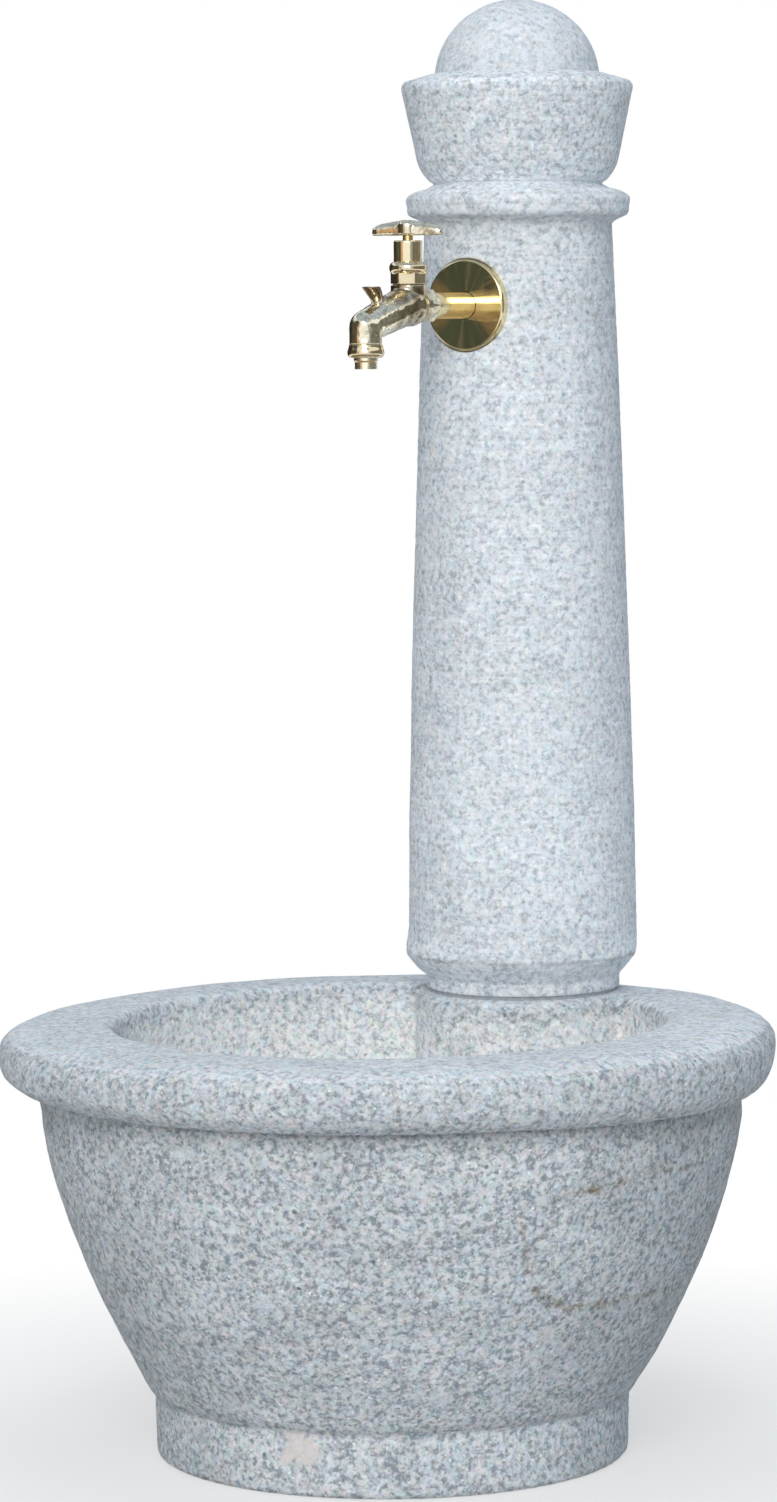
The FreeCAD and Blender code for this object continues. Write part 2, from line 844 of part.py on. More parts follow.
def make_spindle():
    """Spindle with its lifting thread below and a squared end in the handle's hub."""
    _, _, foot = valve_stack()
    y = bonnet_y()
    thread_top = foot + stem_thread_length
    square_foot = handle_foot()
    square_top = square_foot + handle_socket_depth
    side = stem_radius * math.sqrt(2)
    corner = Vec(-side / 2, y - side / 2, square_foot - 1)
    square = Part.makeBox(side, side, square_top - square_foot + 1, corner)
    square = square.common(disc(stem_radius - 0.1, square_foot - 1, square_top, 0, y))
    square.rotate(Vec(0, y, 0), UP, handle_turned)
    spindle = joined(
        disc(stem_thread_radius, foot, thread_top, 0, y),
        disc(stem_radius, thread_top - 1, square_foot, 0, y),
        square,
    )
    pin_hole_top = foot + jumper_pin_length + 1
    spindle = spindle.cut(disc(jumper_pin_radius + stem_gap, foot - 1, pin_hole_top, 0, y))
    screw_bottom = square_top - handle_screw_length
    return spindle.cut(disc(handle_screw_radius / 2, screw_bottom, square_top + 1, 0, y))


def handle_bar():
    """Wing of the handle: arched on top, with blunt ends. Its underside is cut flat later."""
    half = handle_span / 2
    stations = (
        (-1.00, 2.8, 2.8, 2.5),
        (-0.91, 2.6, 5.0, 4.1),
        (-0.68, 3.1, 6.5, 4.7),
        (-0.35, 3.6, 7.3, 5.2),
        (0.0, 4.0, 7.7, 5.7),
        (0.35, 3.6, 7.3, 5.2),
        (0.68, 3.1, 6.5, 4.7),
        (0.91, 2.6, 5.0, 4.1),
        (1.00, 2.8, 2.8, 2.5),
    )
    stretch = handle_height / 11.9
    sections = []
    for share, rise, height, width in stations:
        ellipse = Part.Ellipse(Vec(0, 0, 0), height * stretch, width * stretch).toShape()
        wire = Part.Wire([ellipse])
        wire.rotate(Vec(0, 0, 0), Vec(0, 1, 0), 90)
        wire.translate(Vec(share * half, 0, rise * stretch))
        sections.append(wire)
    return Part.makeLoft(sections, True)


def make_handle():
    """Arched T handle: a hub on the spindle's square and a wing with blunt ends."""
    foot = handle_foot()
    y = bonnet_y()
    bar = handle_bar()
    hub_top = handle_height
    dome = curve([
        (handle_hub_radius, hub_top - 4.4),
        (handle_hub_radius * 0.86, hub_top - 1.6),
        (4.4, hub_top),
    ])
    hub_edges = polyline([(0, 0), (handle_hub_radius - 1.2, 0), (handle_hub_radius, 1.6),
                          (handle_hub_radius, hub_top - 4.4)])
    hub_edges += dome + polyline([(4.4, hub_top), (0, hub_top), (0, 0)])
    handle = joined(bar, turned(hub_edges))
    handle = handle.common(disc(handle_span, 0, handle_height))
    side = stem_radius * math.sqrt(2)
    socket = Part.makeBox(side, side, handle_socket_depth + 1, Vec(-side / 2, -side / 2, -1))
    socket = socket.common(disc(stem_radius - 0.1, -1, handle_socket_depth))
    handle = handle.cut(socket)
    head_seat = handle_height - handle_screw_head
    handle = handle.cut(disc(handle_screw_radius / 2 + fit_gap, 0, handle_height + 1))
    handle = handle.cut(disc(handle_screw_radius + fit_gap, head_seat, handle_height + 1))
    handle.rotate(Vec(0, 0, 0), UP, handle_turned)
    handle.translate(Vec(0, y, foot))
    return handle


def make_handle_screw():
    foot = handle_foot()
    y = bonnet_y()
    head_seat = foot + handle_height - handle_screw_head
    bottom = foot + handle_socket_depth - handle_screw_length + 1
    screw = joined(
        disc(handle_screw_radius, head_seat, foot + handle_height, 0, y),
        disc(handle_screw_radius / 2, bottom, head_seat + 1, 0, y),
    )
    slot = Part.makeBox(handle_screw_radius * 2 + 1, 1.0, 0.8,
                        Vec(-handle_screw_radius - 0.5, y - 0.5, foot + handle_height - 0.8))
    return screw.cut(slot)


def outlet_levels():
    """Levels below the spout: end of its thread, underside of the gasket and of the nozzle's flange."""
    thread_end = tap_z - outlet_shoulder_drop - outlet_thread_length
    gasket = thread_end - outlet_gasket_thickness
    flange = gasket - nozzle_flange_thickness
    return thread_end, gasket, flange


def make_outlet_gasket():
    thread_end, gasket, _ = outlet_levels()
    outer = outlet_thread_radius - 0.2
    return ring(outer, outer - outlet_gasket_width, gasket, thread_end, 0, outlet_y())


def make_nozzle():
    _, gasket, flange = outlet_levels()
    y = outlet_y()
    end = flange - nozzle_length + nozzle_flange_thickness
    neck_end = flange - nozzle_neck_length
    taper_end = neck_end - nozzle_taper_length
    edges = polyline([
        (nozzle_bore_radius, gasket),
        (nozzle_flange_radius, gasket),
        (nozzle_flange_radius, flange),
        (nozzle_neck_radius, flange),
        (nozzle_neck_radius, neck_end),
        (nozzle_radius, taper_end),
        (nozzle_radius, end),
        (nozzle_bore_radius, end),
        (nozzle_bore_radius, gasket),
    ])
    return turned(edges, 0, y)


def make_outlet_nut():
    """Rounded union nut that holds the nozzle on the spout."""
    _, _, flange = outlet_levels()
    y = outlet_y()
    shoulder = tap_z - outlet_shoulder_drop
    foot = flange - outlet_nut_wall
    middle = foot + (shoulder - foot) * 0.42
    bulge = outlet_nut_radius - outlet_nut_top_radius
    edges = polyline([(0, foot), (nozzle_neck_radius + 2.4, foot)])
    edges += curve([
        (nozzle_neck_radius + 2.4, foot),
        (outlet_nut_radius - bulge * 0.35, foot + (middle - foot) * 0.45),
        (outlet_nut_radius, middle),
        (outlet_nut_top_radius + bulge * 0.25, middle + (shoulder - middle) * 0.6),
        (outlet_nut_top_radius, shoulder),
    ])
    edges += polyline([(outlet_nut_top_radius, shoulder), (0, shoulder), (0, foot)])
    nut = turned(edges, 0, y)
    nut = nut.cut(disc(nozzle_neck_radius + fit_gap, foot - 1, flange, 0, y))
    bore = max(outlet_thread_radius, nozzle_flange_radius) + fit_gap
    return nut.cut(disc(bore, flange, shoulder + 1, 0, y))


def waste_slots():
    """Drain slots in a ring about the screw."""
    cutters = []
    for step in range(waste_slot_count):
        slot = Part.makeBox(waste_slot_outer - waste_slot_inner, waste_slot_width, 20,
                            Vec(waste_slot_inner, -waste_slot_width / 2, floor_height - 12))
        slot.rotate(Vec(0, 0, 0), UP, 360 * step / waste_slot_count)
        cutters.append(slot)
    return cutters


def make_waste_flange():
    underside = floor_height - waste_flange_thickness
    nose_bottom = underside - waste_nose_length
    flange = joined(
        disc(waste_flange_radius, underside, floor_height),
        ring(waste_nose_radius, waste_nose_radius - waste_nose_wall, nose_bottom, underside + 1),
    )
    for slot in waste_slots():
        flange = flange.cut(slot)
    flange = flange.cut(disc(waste_screw_radius + fit_gap, underside - 1, floor_height + 1))
    head = Part.makeCone(waste_screw_radius + fit_gap, waste_screw_head_radius + fit_gap,
                         waste_flange_thickness, Vec(0, 0, underside), UP)
    return flange.cut(head)


def make_waste_seal_upper():
    rebate_floor = floor_height - waste_rebate_depth
    seal_top = rebate_floor + waste_seal_thickness
    return ring(waste_flange_radius - 1, waste_hole_radius, rebate_floor, seal_top)


def make_waste_seal_lower():
    return ring(waste_nut_flange_radius, waste_sleeve_radius + fit_gap,
                recess_height - waste_seal_thickness, recess_height)


def make_waste_tail():
    """Lower half of the waste: sleeve in the stone, flange under it, crossbar and outlet thread."""
    flange_top = recess_height - waste_seal_thickness
    flange_bottom = flange_top - waste_nut_flange_thickness
    sleeve_bore = waste_nose_radius + waste_sleeve_gap
    tail = joined(
        disc(waste_sleeve_radius, flange_bottom, flange_top + waste_sleeve_length),
        disc(waste_nut_flange_radius, flange_bottom, flange_top),
        disc(waste_thread_radius, waste_tail_clear, flange_bottom + 1),
    )
    tail = tail.cut(disc(sleeve_bore, flange_top, flange_top + waste_sleeve_length + 1))
    tail = tail.cut(disc(waste_thread_radius - waste_tail_wall, waste_tail_clear - 1, flange_top + 1))
    bar_bottom = flange_top - waste_nut_flange_thickness
    bar = Part.makeBox(sleeve_bore * 2 + 2, waste_bar_width, waste_bar_height,
                       Vec(-sleeve_bore - 1, -waste_bar_width / 2, bar_bottom))
    tail = joined(tail, bar)
    return tail.cut(disc(waste_screw_radius, bar_bottom - 1, bar_bottom + waste_bar_height + 1))


def make_waste_screw():
    underside = floor_height - waste_flange_thickness
    bottom = recess_height - waste_seal_thickness - waste_nut_flange_thickness - 2
    head = Part.makeCone(waste_screw_radius, waste_screw_head_radius, waste_flange_thickness,
                         Vec(0, 0, underside), UP)
    screw = joined(head, disc(waste_screw_radius, bottom, underside + 1))
    slot = Part.makeBox(waste_screw_head_radius * 2 + 1, 1.4, 1.2,
                        Vec(-waste_screw_head_radius - 0.5, -0.7, floor_height - 1.2))
    return screw.cut(slot)


def export(pieces):
    os.makedirs("parts", exist_ok=True)
    for name, shape in pieces.items():
        if not shape.isValid():
            print("not valid:", name)
        shape.exportStep("parts/" + name + ".step")


export({
    "basin": make_basin(),
    "column_bed": make_column_bed(),
    "column_pins": make_column_pins(),
    "column_shaft": make_shaft(),
    "capital_bed": make_capital_bed(),
    "capital_pins": make_capital_pins(),
    "capital": make_capital(),
    "finial_bed": make_finial_bed(),
    "finial_pin": make_finial_pin(),
    "ball_finial": make_ball(),
    "riser_pipe": make_riser(),
    "pipe_elbow": make_elbow(),
    "pipe_grommets": make_grommets(),
    "inlet_extension": make_extension(),
    "rosette": make_rosette(),
    "tap_body": make_tap_body(),
    "bonnet_gasket": make_bonnet_gasket(),
    "bonnet": make_bonnet(),
    "gland_packing": make_packing(),
    "gland_nut": make_gland_nut(),
    "valve_washer": make_valve_washer(),
    "washer_nut": make_washer_nut(),
    "jumper": make_jumper(),
    "spindle": make_spindle(),
    "handle": make_handle(),
    "handle_screw": make_handle_screw(),
    "outlet_gasket": make_outlet_gasket(),
    "outlet_nozzle": make_nozzle(),
    "outlet_nut": make_outlet_nut(),
    "waste_flange": make_waste_flange(),
    "waste_seal_upper": make_waste_seal_upper(),
    "waste_seal_lower": make_waste_seal_lower(),
    "waste_tail": make_waste_tail(),
    "waste_screw": make_waste_screw(),
})
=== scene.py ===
"""Stone garden fountain: finer stone and brass over the CAD nodes, in a plain white studio.

Lengths are in metres, in the frame of the CAD: z points up and the tap points to -y.
"""
import math

import bpy
import numpy as np
from mathutils import Matrix, Vector


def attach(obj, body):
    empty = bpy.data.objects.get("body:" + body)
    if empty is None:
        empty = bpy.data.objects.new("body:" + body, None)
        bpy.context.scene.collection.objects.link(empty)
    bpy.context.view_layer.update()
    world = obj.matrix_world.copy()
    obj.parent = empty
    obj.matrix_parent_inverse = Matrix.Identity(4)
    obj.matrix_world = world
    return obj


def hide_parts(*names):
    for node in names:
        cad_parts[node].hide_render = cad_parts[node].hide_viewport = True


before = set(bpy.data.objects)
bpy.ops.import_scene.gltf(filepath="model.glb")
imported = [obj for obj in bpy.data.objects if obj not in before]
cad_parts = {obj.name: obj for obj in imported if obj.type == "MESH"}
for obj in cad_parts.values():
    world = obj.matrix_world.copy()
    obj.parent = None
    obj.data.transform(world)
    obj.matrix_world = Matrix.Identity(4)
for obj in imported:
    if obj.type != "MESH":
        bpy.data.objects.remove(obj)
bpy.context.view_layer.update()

# Camera: the photograph's place, tilt and lens
CAMERA_TURN = math.radians(35.08)
CAMERA_TILT = math.radians(4.91)
CAMERA_ROLL = math.radians(0.5)
CAMERA_BACK = 4.082
CAMERA_ASIDE = 0.0012
CAMERA_HEIGHT = 0.897
CAMERA_LENS = 127.03
CAMERA_SENSOR = 36.0
CAMERA_REACH = 50.0

# The photograph in its own pixels: the middle, and the lens as a length
PICTURE_MIDDLE = (388.5, 751.0)
PICTURE_FOCAL = 5300.0

# Distances from the camera between which the bowl's outside is looked for
SEARCH_FROM, SEARCH_TO, SEARCH_STEPS = 3.0, 4.4, 800

# The bowl
RIM_RADIUS = 0.3
RIM_TOP = 0.3387
FOOT_RADIUS = 0.185
WALL_FOOT = 0.0485
WALL_TOP = 0.283
WALL_FOOT_RADIUS = 0.187
WALL_TOP_RADIUS = 0.273
WALL_CURVE = 1.62
LEAST_WALL = 0.02
MOUTH_RADIUS = 0.222
REACH_LIMIT = 0.2992
ROLL_LINE = 0.2825
FOOT_LINE = 0.0478
HOLLOW_FROM = 0.05

# The column, the cup and the ball; COLUMN_SHARE is the rim's radius over the column's
COLUMN_Y = 0.1876
COLUMN_AXIS = np.array([0, COLUMN_Y, 0])
COLUMN_FOOT = 0.3427
COLUMN_SHARE = 3.3
SEAT_RADIUS = 0.085
DRUM_FOOT = 0.3732
SHAFT_TOP = 0.984
CUP_FOOT = 0.9855
BALL_FOOT = 1.025

# The tap: the tube's height, the rosette's seat, the stem's place and its two bores
TAP_Z = 0.889
ROSETTE_SEAT = 0.0385
STEM_Y = 0.034145
STEM_BORE = {"bonnet": 0.0054, "gland_nut": 0.0044}
STEM_GAP = 0.00025
BORE_FADE = 0.001

# Hand work on the stone: how far each form departs from the turned one
ROLL_THINNING = 0.0066
RIM_BULGE = 0.0036
WALL_SHIFT = 0.0015
RIM_SLOPE = 0.0024
JOINT_GROOVE = 0.0016
CHIP_DEPTH = 0.0018
CHAMFER_PUSH = 0.0032
SHOULDER_DROP = 0.0022
COLLAR_HEIGHTS = (0.9530, 0.9550, 0.9574, 0.9598, 0.9622, 0.9665)
COLLAR_FULLER = (0, 0.0024, 0.0054, 0.0048, 0.0030, 0)

# Rust veins: strength, and the way of each through the photograph's pixels
VEINS = (
    (1.0, ((555, 1199), (572, 1193), (595, 1189), (622, 1181), (650, 1173), (684, 1165))),
    (0.6, ((526, 1206), (521, 1222), (522, 1240), (526, 1256), (528, 1270))),
    (0.8, ((536, 1290), (548, 1301), (565, 1308), (590, 1304), (618, 1298), (650, 1291),
           (679, 1283))),
)
VEIN_CORE, VEIN_EDGE = 0.0006, 0.0058

# Pale patches: pixel, size and strength
PATCHES = (((302, 1451), 0.0195, 1.0), ((548, 1332), 0.009, 0.55))

# Granite paint, as shares of the stone's tone, from the darkest grain to the lightest
GRAIN_STOPS = (
    (0.00, (0.46, 0.50, 0.55)),
    (0.25, (0.69, 0.73, 0.775)),
    (0.50, (0.95, 0.985, 1.025)),
    (0.75, (1.085, 1.115, 1.145)),
    (1.00, (1.25, 1.27, 1.29)),
)
LIGHTEST_STONE = 0.97
DARK_FLECK = (0.30, 0.34, 0.40)
BLACK_FLECK = (0.16, 0.17, 0.20)
WHITE_FLECK = (0.93, 0.94, 0.95)
SILT_TINT = (1.035, 1.0, 0.965)
CREASE_SHADE_AND_DIRT_TINT = (0.50, 0.475, 0.465)
RUST_TINT = (0.56, 0.43, 0.29)
PATCH_PAINT = (0.77, 0.70, 0.67)

# Brass paint
CAST_GRIME = (0.30, 0.29, 0.27)
GRIME = (0.62, 0.52, 0.42)
TARNISH_TINT = (0.35, 0.285, 0.23)

# Turned brass: pitch of the rings, and the turn in degrees, narrowness and strength of each ray
LATHE_PITCH = 0.0007
LATHE_RAYS = ((8, 140.0, 0.14), (-14, 500.0, 0.08), (28, 700.0, 0.08), (-34, 500.0, 0.05))

# Screens: turn from and to, in degrees from the tap's side, lower and upper edge, paint
SCREENS = (
    (-150, -72, 0.0, 2.3, (0.035, 0.032, 0.028)),
    (-72, -50, 0.1, 2.2, (0.100, 0.065, 0.040)),
    (-50, -24, 0.0, 2.6, (0.066, 0.080, 0.068)),
    (-24, -7, 0.2, 2.0, (0.60, 0.38, 0.22)),
    (50, 66, 0.2, 1.9, (0.45, 0.48, 0.50)),
    (66, 175, 0.1, 2.2, (0.19, 0.19, 0.165)),
)
SCREEN_REACH = 3.0
SCREEN_FACET = 6
SKY_PAINT = (0.42, 0.49, 0.58)
SKY_HEIGHT = 3.4
SKY_WIDTH = 6.0
CARD_PAINT = (0.30, 0.235, 0.16)
CARD_INNER, CARD_OUTER, CARD_HEIGHT, CARD_STEPS = 0.34, 1.6, 0.004, 48

# Floor, world and lights
FLOOR_WIDTH = 40.0
FLOOR_DROP = 0.0006
SHADOW_INNER, SHADOW_OUTER, SHADOW_FADE = 0.33, 0.85, 0.55
AMBIENT = 0.41
AMBIENT_LEFT = (0.885, 0.965, 1.055)
AMBIENT_RIGHT = (0.77, 0.94, 1.11)
KEY_TURN = math.radians(28.0)
KEY_LIFT = math.radians(27.0)
KEY_REACH = 6.0
KEY_TARGET = (0, 0.1, 0.5)
KEY_SIZE = 2.8
KEY_POWER = 195.0
KEY_COLOUR = (1.0, 0.985, 0.955)
TOP_PLACE = (0.0, 0.0, 6.0)
TOP_TARGET = (0, 0.05, 0.3)
TOP_SIZE = 4.0
TOP_POWER = 88.0
TOP_COLOUR = (0.97, 0.99, 1.02)


def new_object(name, data):
    thing = bpy.data.objects.new(name, data)
    bpy.context.scene.collection.objects.link(thing)
    return thing


def make_camera():
    data = bpy.data.cameras.new("camera")
    data.sensor_width = CAMERA_SENSOR
    data.sensor_fit = "AUTO"
    data.lens = CAMERA_LENS
    data.clip_end = CAMERA_REACH
    camera = new_object("camera", data)
    right = Vector((math.cos(CAMERA_TURN), math.sin(CAMERA_TURN), 0))
    level = Vector((-math.sin(CAMERA_TURN), math.cos(CAMERA_TURN), 0))
    ahead = level * math.cos(CAMERA_TILT) - Vector((0, 0, math.sin(CAMERA_TILT)))
    up = right.cross(ahead)
    side = right * math.cos(CAMERA_ROLL) - up * math.sin(CAMERA_ROLL)
    top = up * math.cos(CAMERA_ROLL) + right * math.sin(CAMERA_ROLL)
    place = right * CAMERA_ASIDE - level * CAMERA_BACK + Vector((0, 0, CAMERA_HEIGHT))
    matrix = Matrix((side, top, -ahead)).transposed().to_4x4()
    camera.matrix_world = Matrix.Translation(place) @ matrix
    bpy.context.scene.camera = camera


# Materials


def scaled(colour, factor, most=1.0):
    return tuple(min(most, factor * part) for part in colour)


class Graph:
    """The node tree of a material, or of the world, built from short calls."""

    def __init__(self, name, world=False):
        self.owner = (bpy.data.worlds if world else bpy.data.materials).new(name)
        self.owner.use_nodes = True
        self.tree = self.owner.node_tree
        self.tree.nodes.clear()
        self.out = self.add("OutputWorld" if world else "OutputMaterial")

    def add(self, kind, inputs=None, **settings):
        node = self.tree.nodes.new("ShaderNode" + kind)
        for key, value in settings.items():
            setattr(node, key, value)
        for key, value in (inputs or {}).items():
            self.put(node.inputs[key], value)
        return node

    def put(self, socket, value):
        if isinstance(value, bpy.types.NodeSocket):
            self.tree.links.new(value, socket)
        elif socket.type == "RGBA" and len(value) == 3:
            socket.default_value = (*value, 1.0)
        else:
            socket.default_value = value

    def finish(self, shader):
        self.tree.links.new(shader.outputs[0], self.out.inputs[0])
        return self.owner

    def math(self, operation, a, b=0.0, clamp=False):
        node = self.add("Math", {0: a, 1: b}, operation=operation, use_clamp=clamp)
        return node.outputs[0]

    def plus(self, a, b, clamp=False):
        return self.math("ADD", a, b, clamp)

    def minus(self, a, b):
        return self.math("SUBTRACT", a, b)

    def times(self, a, b, clamp=False):
        return self.math("MULTIPLY", a, b, clamp)

    def coords(self, scale=(1, 1, 1)):
        place = self.add("TexCoord").outputs["Object"]
        return self.add("Mapping", {"Vector": place, "Scale": scale}).outputs[0]

    def noise(self, vector, scale, detail=2.0, rough=0.5, output="Fac"):
        node = self.add("TexNoise", {"Vector": vector, "Scale": scale, "Detail": detail,
                                     "Roughness": rough})
        return node.outputs[output]

    def cells(self, vector, scale):
        """Two random values for each grain, and the distance from its middle."""
        node = self.add("TexVoronoi", {"Vector": vector, "Scale": scale, "Randomness": 1.0})
        split = self.add("SeparateColor", {0: node.outputs["Color"]})
        return split.outputs[0], split.outputs[1], node.outputs["Distance"]

    def weight(self, name):
        """One of the weights that the mesh carries."""
        return self.add("Attribute", attribute_name=name).outputs["Fac"]

    def ramp(self, value, stops):
        node = self.add("ValToRGB", {"Fac": value})
        marks = node.color_ramp.elements
        while len(marks) < len(stops):
            marks.new(0.5)
        for mark, (position, colour) in zip(marks, stops):
            mark.position = position
            mark.color = (*colour, 1.0)
        return node.outputs[0]

    def mix(self, factor, a, b, blend="MIX"):
        node = self.add("Mix", {0: factor, 6: a, 7: b}, data_type="RGBA", blend_type=blend)
        return node.outputs[2]

    def multiply(self, colour, other):
        return self.mix(1.0, colour, other, blend="MULTIPLY")

    def tint(self, colour, weight, other):
        """The colour, multiplied by the other colour where the weight is 1."""
        return self.mix(weight, colour, self.multiply(colour, other))

    def shade(self, colour, value):
        """The colour, multiplied by a grey value."""
        grey = self.add("CombineColor", {0: value, 1: value, 2: value})
        return self.multiply(colour, grey.outputs[0])

    def remap(self, value, low, high, to_low=0.0, to_high=1.0):
        node = self.add("MapRange", {0: value, 1: low, 2: high, 3: to_low, 4: to_high})
        return node.outputs[0]

    def bump(self, height, distance, strength):
        inputs = {"Height": height, "Distance": distance, "Strength": strength}
        return self.add("Bump", inputs).outputs[0]

    def surface(self, colour, roughness, normal, **fixed):
        inputs = {"Base Color": colour, "Roughness": roughness, "Normal": normal}
        inputs.update({key.replace("_", " "): value for key, value in fixed.items()})
        return self.finish(self.add("BsdfPrincipled", inputs))

    def clouded(self, cloud, base, darker, lighter, low=0.35, high=0.65):
        """The base colour, darker and lighter by turns where the cloud is low and high."""
        return self.mix(self.remap(cloud, low, high), scaled(base, darker), scaled(base, lighter))

    def seen_directly(self):
        """1 for the camera's, mirrored and transmitted rays, 0 for the light on other things."""
        path = self.add("LightPath").outputs
        return self.math("MAXIMUM", path["Is Camera Ray"],
                         self.math("MAXIMUM", path["Is Glossy Ray"], path["Is Transmission Ray"]))


def flecks(g, place, size, share, reach):
    """Round flecks in a share of the grains: 1 on a fleck, 0 off it."""
    _, chance, distance = g.cells(place, 1.0 / size)
    radius = g.times(g.remap(chance, 1.0 - share, 1.0), reach)
    return g.remap(g.minus(radius, distance), 0.0, 0.12)


def granite(name, tone, contrast, grain, hue, lines=0.0, stained=False):
    """Speckled granite: grains, dark and white flecks, clouds of tone and hue, rough surface."""
    g = Graph(name)
    place = g.coords()
    wobble = g.noise(place, 320.0, 1.0, output="Color")
    shifted = g.add("VectorMath", {0: wobble, 1: (0.0010,) * 3}, operation="MULTIPLY").outputs[0]
    warped = g.add("VectorMath", {0: place, 1: shifted}, operation="ADD").outputs[0]

    # Two sizes of grain, softened, in clusters
    big, _, _ = g.cells(warped, 1.0 / grain)
    small, _, _ = g.cells(warped, 1.8 / grain)
    soft = g.noise(place, 0.62 / grain, 2.0, 0.55)
    cluster = g.noise(place, 0.16 / grain, 3.0, 0.65)
    value = g.plus(g.times(big, 0.32), g.times(small, 0.32))
    value = g.plus(value, g.times(soft, 1.15))
    value = g.minus(g.plus(value, g.times(cluster, 0.40)), 0.595)

    # Worn and silted stone shows less of its grain
    calm = 0.0
    if stained:
        calm = g.plus(g.times(g.weight("worn"), 0.42), g.times(g.weight("silt_and_painted_light"), 0.32))
    keep = g.minus(1.0, calm)
    spread = g.times(g.times(g.minus(value, 0.5), contrast), keep)
    value = g.plus(spread, 0.5, clamp=True)
    stops = [(position, scaled(share, tone, LIGHTEST_STONE)) for position, share in GRAIN_STOPS]
    colour = g.ramp(value, stops)
    dark = g.times(flecks(g, warped, grain * 1.5, 0.34, 0.42), keep)
    colour = g.mix(g.times(dark, 0.30 * contrast), colour, scaled(DARK_FLECK, tone))
    black = g.times(flecks(g, place, grain * 2.6, 0.12, 0.30), keep)
    colour = g.mix(g.times(black, 0.42 * contrast), colour, scaled(BLACK_FLECK, tone))
    white = g.times(flecks(g, warped, grain * 1.15, 0.24, 0.38), keep)
    colour = g.mix(g.times(white, 0.30 * contrast ** 1.7), colour, WHITE_FLECK)

    # Clouds of tone and hue, then the mesh's tone weight, which holds painted light and shade
    colour = g.shade(colour, g.remap(g.noise(place, 7.0, 4.0, 0.6), 0.3, 0.7, 0.945, 1.045))
    clouds = g.add("SeparateColor", {0: g.noise(place, 130.0, 3.0, 0.6, "Color")}).outputs
    warm = g.remap(clouds[0], 0.3, 0.7, 1.0 - 0.23 * hue, 1.0 + 0.18 * hue)
    cool = g.remap(clouds[1], 0.3, 0.7, 1.0 - 0.14 * hue, 1.0 + 0.14 * hue)
    colour = g.multiply(colour, g.add("CombineColor", {0: warm, 1: 1.0, 2: cool}).outputs[0])
    colour = g.shade(colour, g.plus(1.0, g.weight("tone")))
    if stained:
        colour = add_stains(g, place, colour)

    height = g.plus(g.times(value, 0.7), g.times(g.noise(place, 620.0, 2.0), 0.5))
    if lines:
        tool = g.noise(g.coords((14.0, 14.0, 300.0)), 1.4, 3.0, 0.55)
        height = g.plus(height, g.times(tool, lines))
        colour = g.shade(colour, g.remap(tool, 0.30, 0.70, 0.92, 1.06))
    roughness = g.remap(value, 0.0, 1.0, 0.72, 0.92)
    return g.surface(colour, roughness, g.bump(height, 0.0009, 0.5), Specular_IOR_Level=0.3)


def add_stains(g, place, colour):
    """Silt, painted shade with dirt in creases, rust veins and pale patches, from the mesh's own
    weights.
    """
    colour = g.tint(colour, g.weight("silt_and_painted_light"), SILT_TINT)
    colour = g.tint(colour, g.weight("crease_shade_and_dirt"), CREASE_SHADE_AND_DIRT_TINT)
    broken = g.remap(g.noise(place, 210.0, 4.0, 0.7), 0.36, 0.54)
    colour = g.tint(colour, g.times(g.weight("rust"), broken, clamp=True), RUST_TINT)
    return g.mix(g.times(g.weight("pale"), 0.80), colour, PATCH_PAINT)


def brass(name, base, roughness, grime, lathe=0.0, cast=0.0):
    """Polished brass with faint wear, fine scratches and darker metal where grime stays.

    Cast brass is wavy, with small dark patches, and browner where the mesh says tarnish.
    """
    g = Graph(name)
    place = g.coords()
    cloud = g.noise(place, 170.0 if cast else 60.0, 4.0, 0.6)
    fine = g.noise(place, 900.0, 3.0, 0.6)
    dark = tuple(c * f for c, f in zip(base, CAST_GRIME if cast else GRIME))
    mask = g.times(g.remap(cloud, 0.50, 0.68), grime, clamp=True)
    colour = g.mix(mask, base, dark)
    rough = g.plus(g.remap(fine, 0.3, 0.7, roughness * 0.7, roughness * 1.4), g.times(mask, 0.25))
    height = g.plus(g.times(cloud, 0.8), g.times(fine, 0.06))
    if cast:
        colour = g.tint(colour, g.weight("tarnish"), TARNISH_TINT)
        height = g.plus(height, g.times(g.noise(place, 210.0, 2.0), cast))
    if lathe:
        spot = g.add("SeparateXYZ", {0: place})
        x = spot.outputs[0]
        z = g.minus(spot.outputs[2], TAP_Z)
        radius = g.math("SQRT", g.plus(g.times(x, x), g.times(z, z)))
        rings = g.math("SINE", g.times(radius, 2 * math.pi / LATHE_PITCH))
        height = g.plus(g.times(height, 0.4), g.times(rings, lathe))
        rough = g.plus(rough, lathe_streaks(g, x, z, radius))
    return g.surface(colour, rough, g.bump(height, 0.0005, 0.25), Metallic=1.0)


def lathe_streaks(g, x, z, radius):
    """Extra roughness in faint rays that run out from the middle of a turned face."""
    total = 0.0
    for turn, narrowness, amount in LATHE_RAYS:
        angle = math.radians(turn)
        along = g.plus(g.times(x, math.sin(angle)), g.times(z, math.cos(angle)))
        share = g.math("ABSOLUTE", g.math("DIVIDE", along, g.math("MAXIMUM", radius, 0.001)))
        total = g.plus(total, g.times(g.math("POWER", share, narrowness), amount))
    return total


def plain_metal(name, base, roughness, spread=0.1, scale=180.0):
    g = Graph(name)
    cloud = g.noise(g.coords(), scale, 4.0, 0.6)
    rough = g.remap(cloud, 0.3, 0.7, roughness - spread, roughness + spread)
    return g.surface(g.clouded(cloud, base, 0.78, 1.12), rough, g.bump(cloud, 0.0004, 0.2),
                     Metallic=1.0)


def matt(name, base, roughness, scale, depth=0.0004):
    g = Graph(name)
    cloud = g.noise(g.coords(), scale, 4.0, 0.6)
    return g.surface(g.clouded(cloud, base, 0.8, 1.15), roughness, g.bump(cloud, depth, 0.5))


